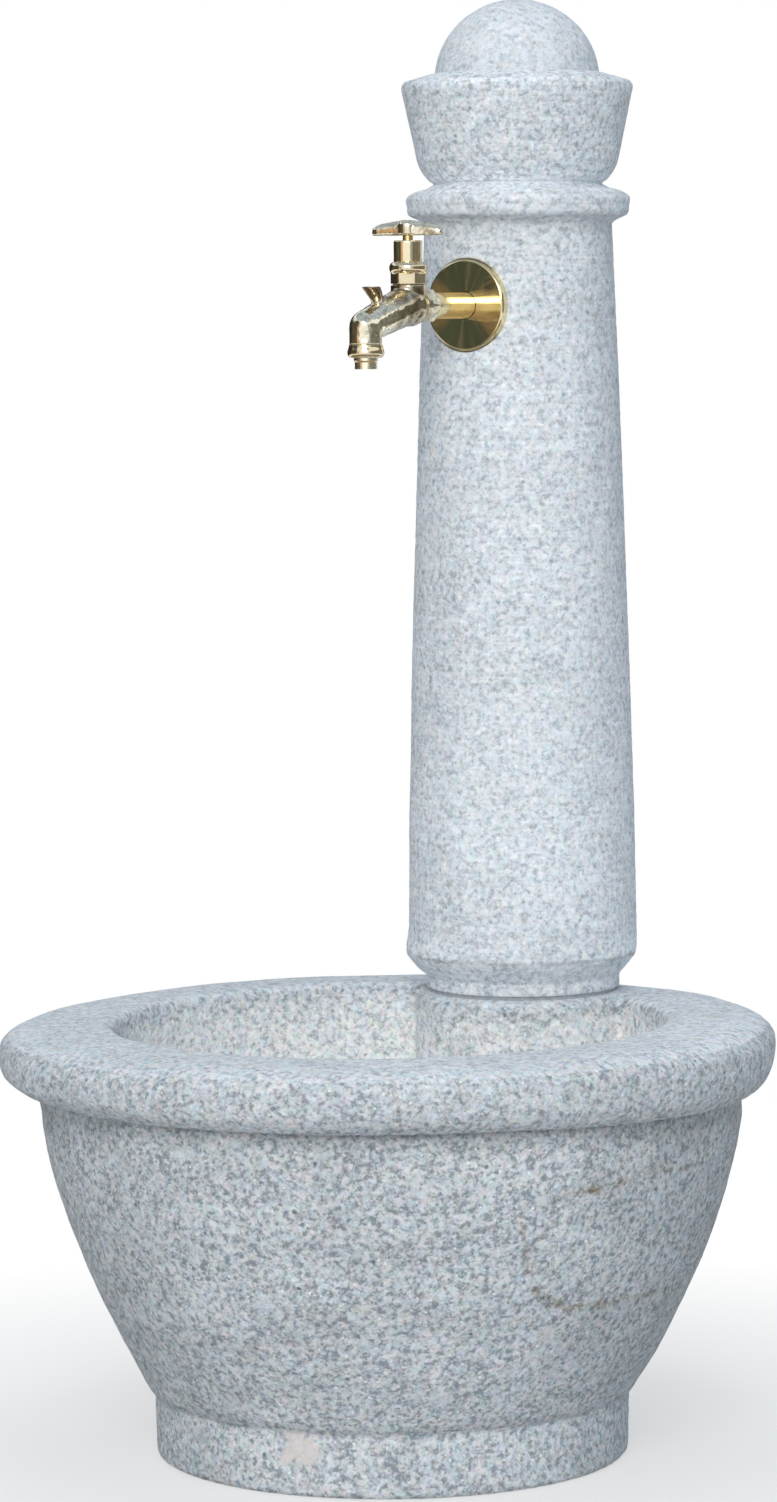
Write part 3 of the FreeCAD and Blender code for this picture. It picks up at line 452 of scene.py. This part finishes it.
MATERIALS = {
    "column": granite("granite_column_stone", 0.76, 1.0, 0.0031, 0.32, lines=0.8, stained=True),
    "cup": granite("granite_cup_stone", 0.72, 1.18, 0.0031, 0.36, lines=0.35),
    "smooth": granite("granite_ball_stone", 0.70, 0.74, 0.0029, 0.32),
    "basin": granite("granite_basin_stone", 0.59, 1.75, 0.0032, 0.52, stained=True),
    "brass": brass("brass_polished", (0.91, 0.81, 0.57), 0.10, 0.35),
    "tube": brass("brass_drawn", (0.88, 0.73, 0.42), 0.09, 0.45),
    "cast": brass("brass_cast", (0.86, 0.80, 0.63), 0.11, 0.85, cast=2.4),
    "spout": brass("brass_cast_body", (0.92, 0.86, 0.68), 0.11, 0.85, cast=2.4),
    "worn": brass("brass_worn", (0.81, 0.71, 0.50), 0.10, 0.35),
    "mouth": brass("brass_dull", (0.93, 0.85, 0.65), 0.24, 0.15),
    "rosette": brass("brass_turned", (0.80, 0.70, 0.43), 0.07, 0.2, lathe=0.12),
    "plain_brass": brass("brass_plain", (0.80, 0.60, 0.28), 0.28, 0.5),
    "steel": plain_metal("steel_pins", (0.62, 0.63, 0.65), 0.35),
    "zinc": plain_metal("zinc_pipe", (0.58, 0.60, 0.62), 0.5, 0.12, 320.0),
    "stainless": plain_metal("stainless_brushed", (0.66, 0.67, 0.68), 0.25, 0.08),
    "rubber": matt("rubber_black", (0.03, 0.03, 0.03), 0.75, 500.0),
    "fibre": matt("fibre_brown", (0.20, 0.14, 0.09), 0.85, 700.0),
    # Pale mortar under the cup and the ball: painted light that softens the shade in these joints
    "mortar": matt("mortar_grey_painted_light", (0.80, 0.82, 0.84), 0.95, 420.0, 0.0008),
    "bed": matt("mortar_damp", (0.40, 0.42, 0.44), 0.95, 420.0, 0.0008),
}

NODE_MATERIALS = {
    "mortar": ("capital_bed", "finial_bed"),
    "bed": ("column_bed",),
    "steel": ("column_pins", "capital_pins", "finial_pin"),
    "zinc": ("riser_pipe", "pipe_elbow"),
    "rubber": ("pipe_grommets", "valve_washer", "waste_seal_upper", "waste_seal_lower"),
    "fibre": ("bonnet_gasket", "gland_packing", "outlet_gasket"),
    "tube": ("inlet_extension",),
    "brass": ("gland_nut",),
    "cast": ("handle",),
    "spout": ("tap_body",),
    "worn": ("bonnet", "outlet_nut"),
    "mouth": ("outlet_nozzle",),
    "rosette": ("rosette",),
    "plain_brass": ("washer_nut", "jumper", "spindle", "handle_screw"),
    "stainless": ("waste_flange", "waste_tail", "waste_screw"),
    "column": ("column_shaft",),
    "cup": ("capital",),
    "smooth": ("ball_finial",),
    "basin": ("basin",),
}


def dress_nodes():
    for key, names in NODE_MATERIALS.items():
        for name in names:
            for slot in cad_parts[name].material_slots:
                slot.material = MATERIALS[key]


# Noise and mesh work


def lattice(cell, seed):
    """A repeatable number from -1 to 1 for each cell of a grid."""
    value = (cell[:, 0] * 374761393 + cell[:, 1] * 668265263 + cell[:, 2] * 1274126177
             + seed * 974634777)
    value &= 0xFFFFFFFF
    value = ((value ^ (value >> 13)) * 1103515245) & 0xFFFFFFFF
    value = ((value ^ (value >> 16)) * 69069) & 0xFFFFFFFF
    return (value ^ (value >> 15)) / 2147483647.5 - 1.0


def smooth_noise(points, size, seed):
    """Value noise at points, with bumps of the given size along each axis."""
    scaled_points = points / np.asarray(size)
    base = np.floor(scaled_points).astype(np.int64)
    part = scaled_points - base
    part = part * part * (3 - 2 * part)
    total = np.zeros(len(points))
    for corner in range(8):
        step = np.array([corner & 1, (corner >> 1) & 1, corner >> 2])
        weight = np.prod(np.where(step, part, 1 - part), axis=1)
        total += weight * lattice(base + step, seed)
    return total


def soft_step(values, low, high):
    """0 below low, 1 above high, and a smooth way between."""
    share = np.clip((values - low) / (high - low), 0, 1)
    return share * share * (3 - 2 * share)


def band(values, low, full, fade, high):
    """1 from full to fade, 0 below low and above high."""
    return soft_step(values, low, full) * (1.0 - soft_step(values, fade, high))


def ridge(values, middle, width):
    """1 at the middle, falling off on both sides."""
    return np.exp(-((values - middle) / width) ** 2)


def read_mesh(mesh):
    count = len(mesh.vertices)
    points = np.empty(count * 3, np.float32)
    normals = np.empty(count * 3, np.float32)
    mesh.vertices.foreach_get("co", points)
    mesh.vertices.foreach_get("normal", normals)
    return points.reshape(-1, 3).astype(float), normals.reshape(-1, 3).astype(float)


def write_points(mesh, points):
    mesh.vertices.foreach_set("co", points.astype(np.float32).ravel())
    mesh.update()


def relax(mesh, rounds):
    """Smooth a mesh: each point goes half way to the middle of its neighbours."""
    points, _ = read_mesh(mesh)
    ends = np.empty(len(mesh.edges) * 2, np.int32)
    mesh.edges.foreach_get("vertices", ends)
    ends = ends.reshape(-1, 2)
    count = np.bincount(ends.ravel(), minlength=len(points))[:, None]
    for _ in range(rounds):
        total = np.zeros_like(points)
        for axis in range(3):
            total[:, axis] = (np.bincount(ends[:, 0], points[ends[:, 1], axis], len(points))
                              + np.bincount(ends[:, 1], points[ends[:, 0], axis], len(points)))
        points += (total / np.maximum(count, 1) - points) * 0.5
    write_points(mesh, points)


def remeshed(node, name, voxel):
    """A fine, even mesh of a node's shape, as a new object in the node's place."""
    piece = new_object(name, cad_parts[node].data.copy())
    modifier = piece.modifiers.new("even", "REMESH")
    modifier.mode = "VOXEL"
    modifier.voxel_size = voxel
    modifier.use_smooth_shade = True
    depsgraph = bpy.context.evaluated_depsgraph_get()
    mesh = bpy.data.meshes.new_from_object(piece.evaluated_get(depsgraph))
    piece.modifiers.clear()
    piece.data = mesh
    mesh.shade_smooth()
    return piece


def add_weight(mesh, name, values):
    layer = mesh.attributes.new(name, "FLOAT", "POINT")
    layer.data.foreach_set("value", values.astype(np.float32))


def paint(mesh, material):
    mesh.materials.clear()
    mesh.materials.append(MATERIALS[material])


def finish_stone(piece, node, material):
    paint(piece.data, material)
    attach(piece, "fountain")
    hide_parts(node)


def keep_flat(points, normals, level, reach=0.0015):
    """Weight 0 on a level joint face, so that a stone still stands on the stone below."""
    near = np.abs(points[:, 2] - level) < reach
    flat = np.abs(normals[:, 2]) > 0.8
    return np.where(near & flat, 0.0, 1.0)


# Making the bowl


def wall_radius(height):
    """Outside radius of the bowl's wall at a height."""
    share = np.clip((height - WALL_FOOT) / (WALL_TOP - WALL_FOOT), 0, 1)
    rise = 1 - (1 - share) ** WALL_CURVE
    return WALL_FOOT_RADIUS + (WALL_TOP_RADIUS - WALL_FOOT_RADIUS) * rise


def inner_side(points):
    """True on the hollow, the pier and the mouth, false on the outside of the bowl."""
    radius = np.hypot(points[:, 0], points[:, 1])
    outside = wall_radius(points[:, 2])
    within = radius < np.minimum(outside - LEAST_WALL, MOUTH_RADIUS)
    return within & (points[:, 2] > HOLLOW_FROM)


def rim_share(points):
    """Place across the bowl, from -1 at the photograph's left end of the rim to 1 at its right."""
    across = points[:, 0] * math.cos(CAMERA_TURN) + points[:, 1] * math.sin(CAMERA_TURN)
    return across / RIM_RADIUS


def make_basin():
    voxel = 0.0022
    piece = remeshed("basin", "basin_stone", voxel)
    mesh = piece.data
    relax(mesh, 1)
    points, normals = read_mesh(mesh)
    radius = np.hypot(points[:, 0], points[:, 1])
    height = points[:, 2].copy()
    inside = inner_side(points)
    top = soft_step(normals[:, 2], 0.45, 0.95) * (radius < 0.292)
    hammered = smooth_noise(points, 0.0062, 3) * 0.5 + smooth_noise(points, 0.013, 4) * 0.5
    uneven = smooth_noise(points, 0.055, 5) * 0.6 + smooth_noise(points, 0.12, 6) * 0.4
    edge = soft_step(radius, 0.288, 0.2985)
    depth = 0.00055 * hammered * (1.0 - 0.6 * top) + 0.0007 * uneven
    depth = depth * (1 - 0.6 * edge) + 0.0006 * edge + 0.0002
    under_roll = ridge(height, ROLL_LINE, 0.0022) * (radius > 0.262) * (radius < 0.2815)
    over_foot = ridge(height, FOOT_LINE, 0.0032) * (radius > 0.178) * (radius < 0.196)
    depth += JOINT_GROOVE * under_roll
    depth += JOINT_GROOVE * over_foot
    depth *= keep_flat(points, normals, 0.0)
    depth *= keep_flat(points, normals, RIM_TOP + 0.002)
    points -= normals * depth[:, None]
    points = hand_worked(points, height, radius, inside)
    points[:, 2] = np.maximum(points[:, 2] + rim_wave(points), 0.0)
    write_points(mesh, points)

    # Silt low in the hollow: a warm stain, and also painted light that lightens the hollow
    silt_and_painted_light = soft_step(-height, -RIM_TOP - 0.0005, -0.318)
    silt_and_painted_light = np.clip(silt_and_painted_light * (1.0 + 0.5 * uneven) + 0.12 * hammered * silt_and_painted_light, 0.0, 1.0)
    silt_and_painted_light = np.where(inside, silt_and_painted_light, 0.0)
    top = np.where(inside, np.maximum(0.0, top - silt_and_painted_light), top)
    roll = soft_step(height, 0.283, 0.290) * (1.0 - top) * np.where(inside, 0.0, 1.0)
    add_weight(mesh, "silt_and_painted_light", silt_and_painted_light)
    add_weight(mesh, "worn", np.maximum(top, 0.35 * roll))
    # Painted shade, with a brown tint of dirt, in the groove under the roll
    add_weight(mesh, "crease_shade_and_dirt", np.clip(under_roll * (0.75 + 0.25 * hammered), 0.0, 1.0))
    add_weight(mesh, "tone", basin_painted_light_and_tone(points, height, radius, inside, top, silt_and_painted_light))
    add_weight(mesh, "rust", vein_weights(points, inside))
    add_weight(mesh, "pale", pale_weights(points, inside))
    finish_stone(piece, "basin", "basin")


def hand_worked(points, height, radius, inside):
    """The mason's unevenness: a roll that thins to one side and a wall a little off centre."""
    across = rim_share(points)
    outside = np.where(inside, 0.0, 1.0)
    thin = outside * band(height, 0.245, 0.283, 0.2845, 0.3185) * soft_step(radius, 0.245, 0.255)
    points[:, 2] += ROLL_THINNING * thin * (1.0 - soft_step(across, 0.1, 1.05))
    bulge = soft_step(-across, 0.5, 1.0)
    bulge *= soft_step(height, 0.285, 0.300) * soft_step(radius, 0.268, 0.290)
    reach = np.maximum(np.abs(points[:, 0]), np.abs(points[:, 1])) / np.maximum(radius, 0.1)
    room = np.maximum(REACH_LIMIT / np.maximum(reach, 0.5) - radius, 0.0)
    points[:, :2] *= (1.0 + np.minimum(RIM_BULGE * bulge, room) / np.maximum(radius, 0.1))[:, None]
    wall = outside * band(height, 0.05, 0.09, 0.262, 0.283)
    points[:, 0] += WALL_SHIFT * wall * math.cos(CAMERA_TURN)
    points[:, 1] += WALL_SHIFT * wall * math.sin(CAMERA_TURN)
    return points


def rim_wave(points):
    """Slight slope of the hand-worked rim, which spares the seat under the column."""
    seat = np.hypot(points[:, 0], points[:, 1] - COLUMN_Y)
    free = soft_step(points[:, 2], 0.265, 0.31) * soft_step(seat, SEAT_RADIUS, 0.15)
    return RIM_SLOPE * rim_share(points) * free


def basin_painted_light_and_tone(points, height, radius, inside, top, silt_and_painted_light):
    """Painted light and shade: lighter up-facing rim, foot and hollow, darker wall and sides, with
    long dark clouds of tone.
    """
    wall = np.where(inside, 0.0, band(height, 0.050, 0.075, 0.270, 0.285))
    clouds = smooth_noise(points, (0.075, 0.075, 0.028), 71) * 0.6
    clouds += smooth_noise(points, (0.030, 0.030, 0.012), 72) * 0.4
    foot = np.where(inside, 0.0, 1.0 - soft_step(height, 0.042, 0.055))
    # Painted shade above the foot, below the roll and on the roll's underside
    shade = ridge(height, 0.0515, 0.0055) * (1.0 - foot) * (radius < 0.196)
    shade += 0.65 * ridge(height, 0.2755, 0.0055) * (radius > 0.255) * (radius < 0.275)
    under = (1.0 - soft_step(height, 0.2865, 0.306)) * (radius > 0.2745)
    # Painted shade: both sides of the picture are darker, most of all low on the wall
    across = rim_share(points)
    sides = 0.155 * soft_step(across, 0.25, 0.9) + 0.10 * soft_step(-across, 0.25, 0.9)
    turned = np.abs(across) * RIM_RADIUS / np.maximum(radius, 0.05)
    sides += 0.08 * soft_step(turned, 0.45, 0.9) * (1.0 - soft_step(height, 0.10, 0.20))
    # A pale ledge round the column's base
    seat = np.hypot(points[:, 0], points[:, 1] - COLUMN_Y)
    ledge = ridge(seat, SEAT_RADIUS, 0.008) * soft_step(height, 0.334, 0.337)
    # Painted light on the up-facing rim, more at its right end, on the foot and in the hollow;
    # painted shade on the wall, at the sides and in the bands above
    tone = 0.17 * top + 0.42 * silt_and_painted_light + 0.15 * ledge
    tone += (0.09 - 0.6 * sides) * foot - (0.02 + sides) * wall
    tone += 0.13 * top * soft_step(across, 0.5, 1.0)
    tone -= np.where(inside, 0.0, 0.20 * shade + 0.13 * under)
    return tone + wall * 0.16 * np.clip(clouds, -1.0, 0.35)


def bowl_radius(height):
    """Outside radius of the bowl's foot or wall at a height."""
    return FOOT_RADIUS if height < WALL_FOOT else wall_radius(height)


def seen_from_camera(pixel):
    """Place on the bowl's outside that lies behind a pixel of the photograph."""
    camera = bpy.context.scene.camera.matrix_world
    ray = Vector(((pixel[0] - PICTURE_MIDDLE[0]) / PICTURE_FOCAL,
                  (PICTURE_MIDDLE[1] - pixel[1]) / PICTURE_FOCAL, -1.0))
    along = camera.to_3x3() @ ray
    distance = SEARCH_FROM
    while distance < SEARCH_TO:
        spot = camera.translation + along * distance
        if math.hypot(spot.x, spot.y) < bowl_radius(spot.z):
            return np.array(spot)
        distance += (SEARCH_TO - SEARCH_FROM) / SEARCH_STEPS
    return None


def vein_weights(points, inside):
    """Thin broken lines of rust on the outside of the bowl."""
    weights = np.zeros(len(points))
    wander = smooth_noise(points, 0.012, 21) * 0.0035 + smooth_noise(points, 0.004, 22) * 0.0015
    for strength, vein in VEINS:
        spots = [seen_from_camera(pixel) for pixel in vein]
        spots = [spot for spot in spots if spot is not None]
        for a, b in zip(spots, spots[1:]):
            along = b - a
            share = np.clip(((points - a) @ along) / (along @ along), 0, 1)
            gap = np.linalg.norm(points - (a + share[:, None] * along), axis=1)
            line = 1 - soft_step(gap + wander, VEIN_CORE, VEIN_EDGE)
            weights = np.maximum(weights, strength * line)
    patchy = soft_step(smooth_noise(points, 0.018, 23), -0.5, 0.5)
    return np.where(inside, 0.0, weights * (0.6 + 0.4 * patchy))


def pale_weights(points, inside):
    """Pale patches with ragged edges on the outside of the bowl."""
    weights = np.zeros(len(points))
    ragged = 0.45 * smooth_noise(points, 0.009, 31) + 0.35 * smooth_noise(points, 0.003, 32)
    for pixel, size, strength in PATCHES:
        gap = np.linalg.norm(points - seen_from_camera(pixel), axis=1) / size
        weights = np.maximum(weights, strength * (1 - soft_step(gap + ragged, 0.65, 1.05)))
    return np.where(inside, 0.0, weights)


# Making the column, the cup and the ball


def make_shaft():
    voxel = 0.0016
    piece = remeshed("column_shaft", "column_shaft_stone", voxel)
    mesh = piece.data
    points, normals = read_mesh(mesh)
    away = points - COLUMN_AXIS
    radius = np.hypot(away[:, 0], away[:, 1])
    height = points[:, 2].copy()
    outer = soft_step(radius, 0.05, 0.06)
    face = np.hypot(points[:, 0], height - TAP_Z) < ROSETTE_SEAT
    face &= points[:, 1] < COLUMN_Y

    # Tool marks, and chips along the drum's lower edge; joints and the rosette's seat stay flat
    tooled = smooth_noise(points, (0.011, 0.011, 0.0042), 11) * 0.6
    tooled += smooth_noise(points, (0.02, 0.02, 0.009), 12) * 0.4
    uneven = smooth_noise(points, 0.06, 13)
    depth = 0.0003 * tooled + 0.0003 * uneven
    edge = ridge(height, DRUM_FOOT, 0.0035) * soft_step(radius, 0.086, 0.090)
    chips = smooth_noise(points, 0.0085, 14) + 0.4 * smooth_noise(points, 0.003, 15)
    depth += edge * CHIP_DEPTH * soft_step(chips, 0.05, 0.8)
    depth *= keep_flat(points, normals, COLUMN_FOOT) * keep_flat(points, normals, SHAFT_TOP)
    depth *= np.where(face, 0.0, outer)
    points -= normals * depth[:, None]

    # Fuller collar, fuller chamfer on one side, lower shoulder
    fuller = np.interp(height, COLLAR_HEIGHTS, COLLAR_FULLER)
    side = soft_step(-rim_share(points - COLUMN_AXIS) * COLUMN_SHARE, 0.3, 1.0)
    fuller += CHAMFER_PUSH * side * band(height, 0.350, 0.360, 0.366, 0.395)
    points[:, :2] += away[:, :2] * (fuller * outer / np.maximum(radius, 0.01))[:, None]
    drop = soft_step(radius, 0.068, 0.074) * soft_step(height, 0.971, 0.980)
    points[:, 2] -= SHOULDER_DROP * drop
    write_points(mesh, points)
    add_weight(mesh, "crease_shade_and_dirt", shaft_dirt_and_shade(points, height, radius))
    add_weight(mesh, "tone", shaft_painted_light(points, height, radius))
    finish_stone(piece, "column_shaft", "column")


def shaft_dirt_and_shade(points, height, radius):
    """Dirt and painted shade in the ragged edge under the drum, and a painted contact shadow where
    the column meets the bowl.
    """
    ragged = height - DRUM_FOOT + 0.0024 + 0.0014 * smooth_noise(points, 0.006, 16)
    lip = ridge(ragged, 0.0, 0.0014) * soft_step(radius, 0.083, 0.087)
    lip *= 0.5 + 0.5 * soft_step(smooth_noise(points, 0.014, 17), -0.5, 0.3)
    contact = ridge(height, COLUMN_FOOT, 0.0016) * soft_step(radius, 0.070, 0.075)
    return np.clip(0.78 * lip + 0.40 * contact, 0.0, 1.0)


def shaft_painted_light(points, height, radius):
    """Painted light on the foot and the neck, a painted highlight along the chamfer, painted
    shadow under the collar and painted shade towards both sides.
    """
    low = 1.0 - soft_step(height, 0.40, 0.62)
    under = 1.0 - soft_step(height, DRUM_FOOT - 0.002, DRUM_FOOT + 0.001)
    ledge = 1.0 - soft_step(height, 0.3545, 0.3565)
    bright = band(height, 0.371, 0.373, 0.376, 0.395)
    neck = soft_step(height, 0.978, 0.981) * soft_step(radius, 0.060, 0.066)
    shade = band(height, 0.938, 0.955, 0.957, 0.960)
    belly = band(height, 0.952, 0.956, 0.958, 0.967) * soft_step(radius, 0.0765, 0.079)
    turned = np.abs(rim_share(points - COLUMN_AXIS)) * COLUMN_SHARE
    sides = soft_step(turned, 0.4, 0.85) * band(height, 0.375, 0.395, 0.94, 0.955)
    tone = 0.11 * low + 0.06 * bright + 0.04 * under * (1.0 - ledge) + 0.17 * neck
    return tone - 0.06 * sides - 0.16 * shade - 0.14 * belly


def make_cap_stone(node, name, material, foot, seed):
    """The cup-shaped capital or the ball: a finer finish than the shaft."""
    voxel = 0.0015
    piece = remeshed(node, name, voxel)
    mesh = piece.data
    points, normals = read_mesh(mesh)
    grit = smooth_noise(points, 0.005, seed) * 0.6 + smooth_noise(points, 0.011, seed + 1) * 0.4
    uneven = smooth_noise(points, 0.035, seed + 2)
    depth = 0.0002 * grit + 0.00025 * uneven
    depth += 0.0004 * soft_step(points[:, 2], 1.10, 1.127)
    depth *= keep_flat(points, normals, foot)
    points -= normals * depth[:, None]
    write_points(mesh, points)
    # Painted light: the cup's foot in the neck and the top of its rim are lighter
    neck = (1.0 - soft_step(points[:, 2], 0.9865, 0.996)) * (node == "capital")
    rim = soft_step(points[:, 2], 1.0585, 1.0600) * (node == "capital")
    add_weight(mesh, "tone", 0.17 * neck + 0.06 * rim)
    finish_stone(piece, node, material)


# Making the tap


def tap_tarnish(points):
    """Brown tarnish on the lug above the spout, and duller metal round the valve chamber."""
    near = np.hypot(points[:, 0], points[:, 1] + 0.0115)
    lug = soft_step(points[:, 2], 0.8925, 0.896) * (1.0 - soft_step(near, 0.016, 0.020))
    dull = band(points[:, 1], -0.008, 0.006, 0.046, 0.056)
    patchy = 0.55 + 0.45 * smooth_noise(points, 0.006, 62)
    return np.minimum(np.maximum(lug, 1.1 * dull * patchy), 1.0)


def clear_stem(points, bore):
    """Open a softened bore, so that the spindle slides and turns free in it."""
    away = points[:, :2] - np.array((0.0, STEM_Y))
    radius = np.maximum(np.hypot(away[:, 0], away[:, 1]), 1e-6)
    gain = STEM_GAP * (1 - soft_step(radius, bore, bore + BORE_FADE))
    points[:, :2] += away / radius[:, None] * gain[:, None]


def make_casting(node, body, material, voxel, rounds, lumps, seed):
    """A brass piece with its edges softened by casting and polishing."""
    piece = remeshed(node, node + "_brass", voxel * (1))
    mesh = piece.data
    relax(mesh, rounds)
    points, normals = read_mesh(mesh)
    wave = smooth_noise(points, 0.0065, seed) * 0.6 + smooth_noise(points, 0.0035, seed + 1) * 0.4
    points -= normals * (lumps * wave)[:, None]
    if node in STEM_BORE:
        clear_stem(points, STEM_BORE[node])
    write_points(mesh, points)
    if node == "tap_body":
        add_weight(mesh, "tarnish", tap_tarnish(points))
    paint(mesh, material)
    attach(piece, body)
    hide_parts(node)


def make_tap():
    make_casting("tap_body", "fountain", "spout", 0.00045, 6, 0.00036, 61)
    make_casting("bonnet", "fountain", "worn", 0.0004, 3, 0.00004, 63)
    make_casting("gland_nut", "fountain", "brass", 0.0004, 3, 0.00004, 65)
    make_casting("outlet_nut", "fountain", "worn", 0.0004, 3, 0.00006, 67)
    make_casting("handle", "handle_spindle", "cast", 0.0004, 6, 0.00016, 69)


# Making the studio


def mesh_object(name, points, faces):
    mesh = bpy.data.meshes.new(name)
    mesh.from_pydata(points, [], faces)
    return new_object(name, mesh)


def grid_object(name, width, height, steps=2):
    """Level square over the middle of the scene."""
    marks = np.linspace(-width / 2, width / 2, steps)
    points = [(x, y, height) for y in marks for x in marks]
    faces = []
    for row in range(steps - 1):
        for column in range(steps - 1):
            first = row * steps + column
            faces.append((first, first + 1, first + steps + 1, first + steps))
    return mesh_object(name, points, faces)


def ring_object(name, inner, outer, height, steps):
    """Flat ring round the fountain."""
    turns = [2 * math.pi * step / steps for step in range(steps)]
    points = [(radius * math.cos(turn), radius * math.sin(turn), height)
              for turn in turns for radius in (inner, outer)]
    faces = []
    for step in range(steps):
        first, after = 2 * step, 2 * ((step + 1) % steps)
        faces.append((first, first + 1, after + 1, after))
    return mesh_object(name, points, faces)


def screen_object(name, start, end, low, high):
    """Upright band round the column, between two turns."""
    steps = max(2, int((end - start) / SCREEN_FACET) + 1)
    points = []
    for angle in np.radians(np.linspace(start, end, steps)):
        x, y = SCREEN_REACH * math.sin(angle), COLUMN_Y - SCREEN_REACH * math.cos(angle)
        points += [(x, y, low), (x, y, high)]
    faces = [(2 * i, 2 * i + 2, 2 * i + 3, 2 * i + 1) for i in range(steps - 1)]
    return mesh_object(name, points, faces)


def floor_material():
    """White as the background where it is seen, except for a soft shadow round the foot."""
    g = Graph("floor_pale")
    place = g.coords()
    shade = g.remap(g.noise(place, 3.0, 3.0), 0.3, 0.7, 0.775, 0.785)
    colour = g.add("CombineColor", {0: shade, 1: shade, 2: shade}).outputs[0]
    diffuse = g.add("BsdfDiffuse", {"Color": colour}).outputs[0]
    white = g.add("Emission", {"Color": (1, 1, 1, 1), "Strength": 1.0}).outputs[0]
    spot = g.add("SeparateXYZ", {0: place}).outputs
    across = g.plus(g.times(spot[0], spot[0]), g.times(spot[1], spot[1]))
    far = g.remap(g.math("SQRT", across), SHADOW_INNER, SHADOW_OUTER, SHADOW_FADE, 1.0)
    return g.finish(g.add("MixShader", {0: g.times(g.seen_directly(), far), 1: diffuse, 2: white}))


def screen_material(name, base):
    g = Graph(name)
    patch = g.noise(g.coords(), 1.7, 3.0, 0.65)
    colour = g.clouded(patch, base, 0.65, 1.35, 0.38, 0.62)
    return g.finish(g.add("Emission", {"Color": colour, "Strength": 1.0}))


def make_stage():
    floor = grid_object("floor", FLOOR_WIDTH, -FLOOR_DROP, 3)
    floor.data.materials.append(floor_material())


def make_surround():
    """Dim screens, a sky and a floor card that only polished metal sees."""
    bands = []
    for index, (start, end, low, high, shade) in enumerate(SCREENS):
        screen = screen_object("screen_%d" % index, start, end, low, high)
        screen.data.materials.append(screen_material("screen_paint_%d" % index, shade))
        bands.append(screen)
    sky = grid_object("sky_screen", SKY_WIDTH, SKY_HEIGHT)
    sky.data.materials.append(screen_material("sky_paint", SKY_PAINT))
    bands.append(sky)
    card = ring_object("floor_card", CARD_INNER, CARD_OUTER, CARD_HEIGHT, CARD_STEPS)
    card.data.materials.append(screen_material("floor_card_paint", CARD_PAINT))
    bands.append(card)
    for thing in bands:
        thing.visible_camera = False
        thing.visible_diffuse = False
        thing.visible_shadow = False
        thing.visible_transmission = False


def make_world():
    """White where it is seen, and a soft bluish light on the fountain, cooler from the right."""
    g = Graph("studio", world=True)
    bpy.context.scene.world = g.owner
    right = (math.cos(CAMERA_TURN), math.sin(CAMERA_TURN), 0.0)
    place = g.add("TexCoord").outputs["Generated"]
    side = g.add("VectorMath", {0: place, 1: right}, operation="DOT_PRODUCT").outputs["Value"]
    tint = g.mix(g.remap(side, -1.0, 1.0), AMBIENT_LEFT, AMBIENT_RIGHT)
    ambient = g.add("Background", {0: tint, 1: AMBIENT}).outputs[0]
    white = g.add("Background", {0: (1.0, 1.0, 1.0, 1.0), 1: 1.0}).outputs[0]
    g.finish(g.add("MixShader", {0: g.seen_directly(), 1: ambient, 2: white}))


def area_light(name, place, target, size, power, colour):
    data = bpy.data.lights.new(name, "AREA")
    data.shape = "RECTANGLE"
    data.size, data.size_y = size, size
    data.energy = power
    data.color = colour
    light = new_object(name, data)
    light.location = place
    aim = Vector(target) - Vector(place)
    light.rotation_euler = aim.to_track_quat("-Z", "Y").to_euler()


def make_lights():
    key = (KEY_REACH * math.cos(KEY_LIFT) * math.sin(KEY_TURN),
           -KEY_REACH * math.cos(KEY_LIFT) * math.cos(KEY_TURN),
           KEY_TARGET[2] + KEY_REACH * math.sin(KEY_LIFT))
    area_light("key", key, KEY_TARGET, KEY_SIZE, KEY_POWER, KEY_COLOUR)
    area_light("top", TOP_PLACE, TOP_TARGET, TOP_SIZE, TOP_POWER, TOP_COLOUR)


make_camera()
dress_nodes()
make_basin()
make_shaft()
make_cap_stone("capital", "capital_stone", "cup", CUP_FOOT, 41)
make_cap_stone("ball_finial", "ball_stone", "smooth", BALL_FOOT, 51)
make_tap()
make_stage()
make_surround()
make_world()
make_lights()

bpy.context.scene.view_settings.view_transform = "Standard"
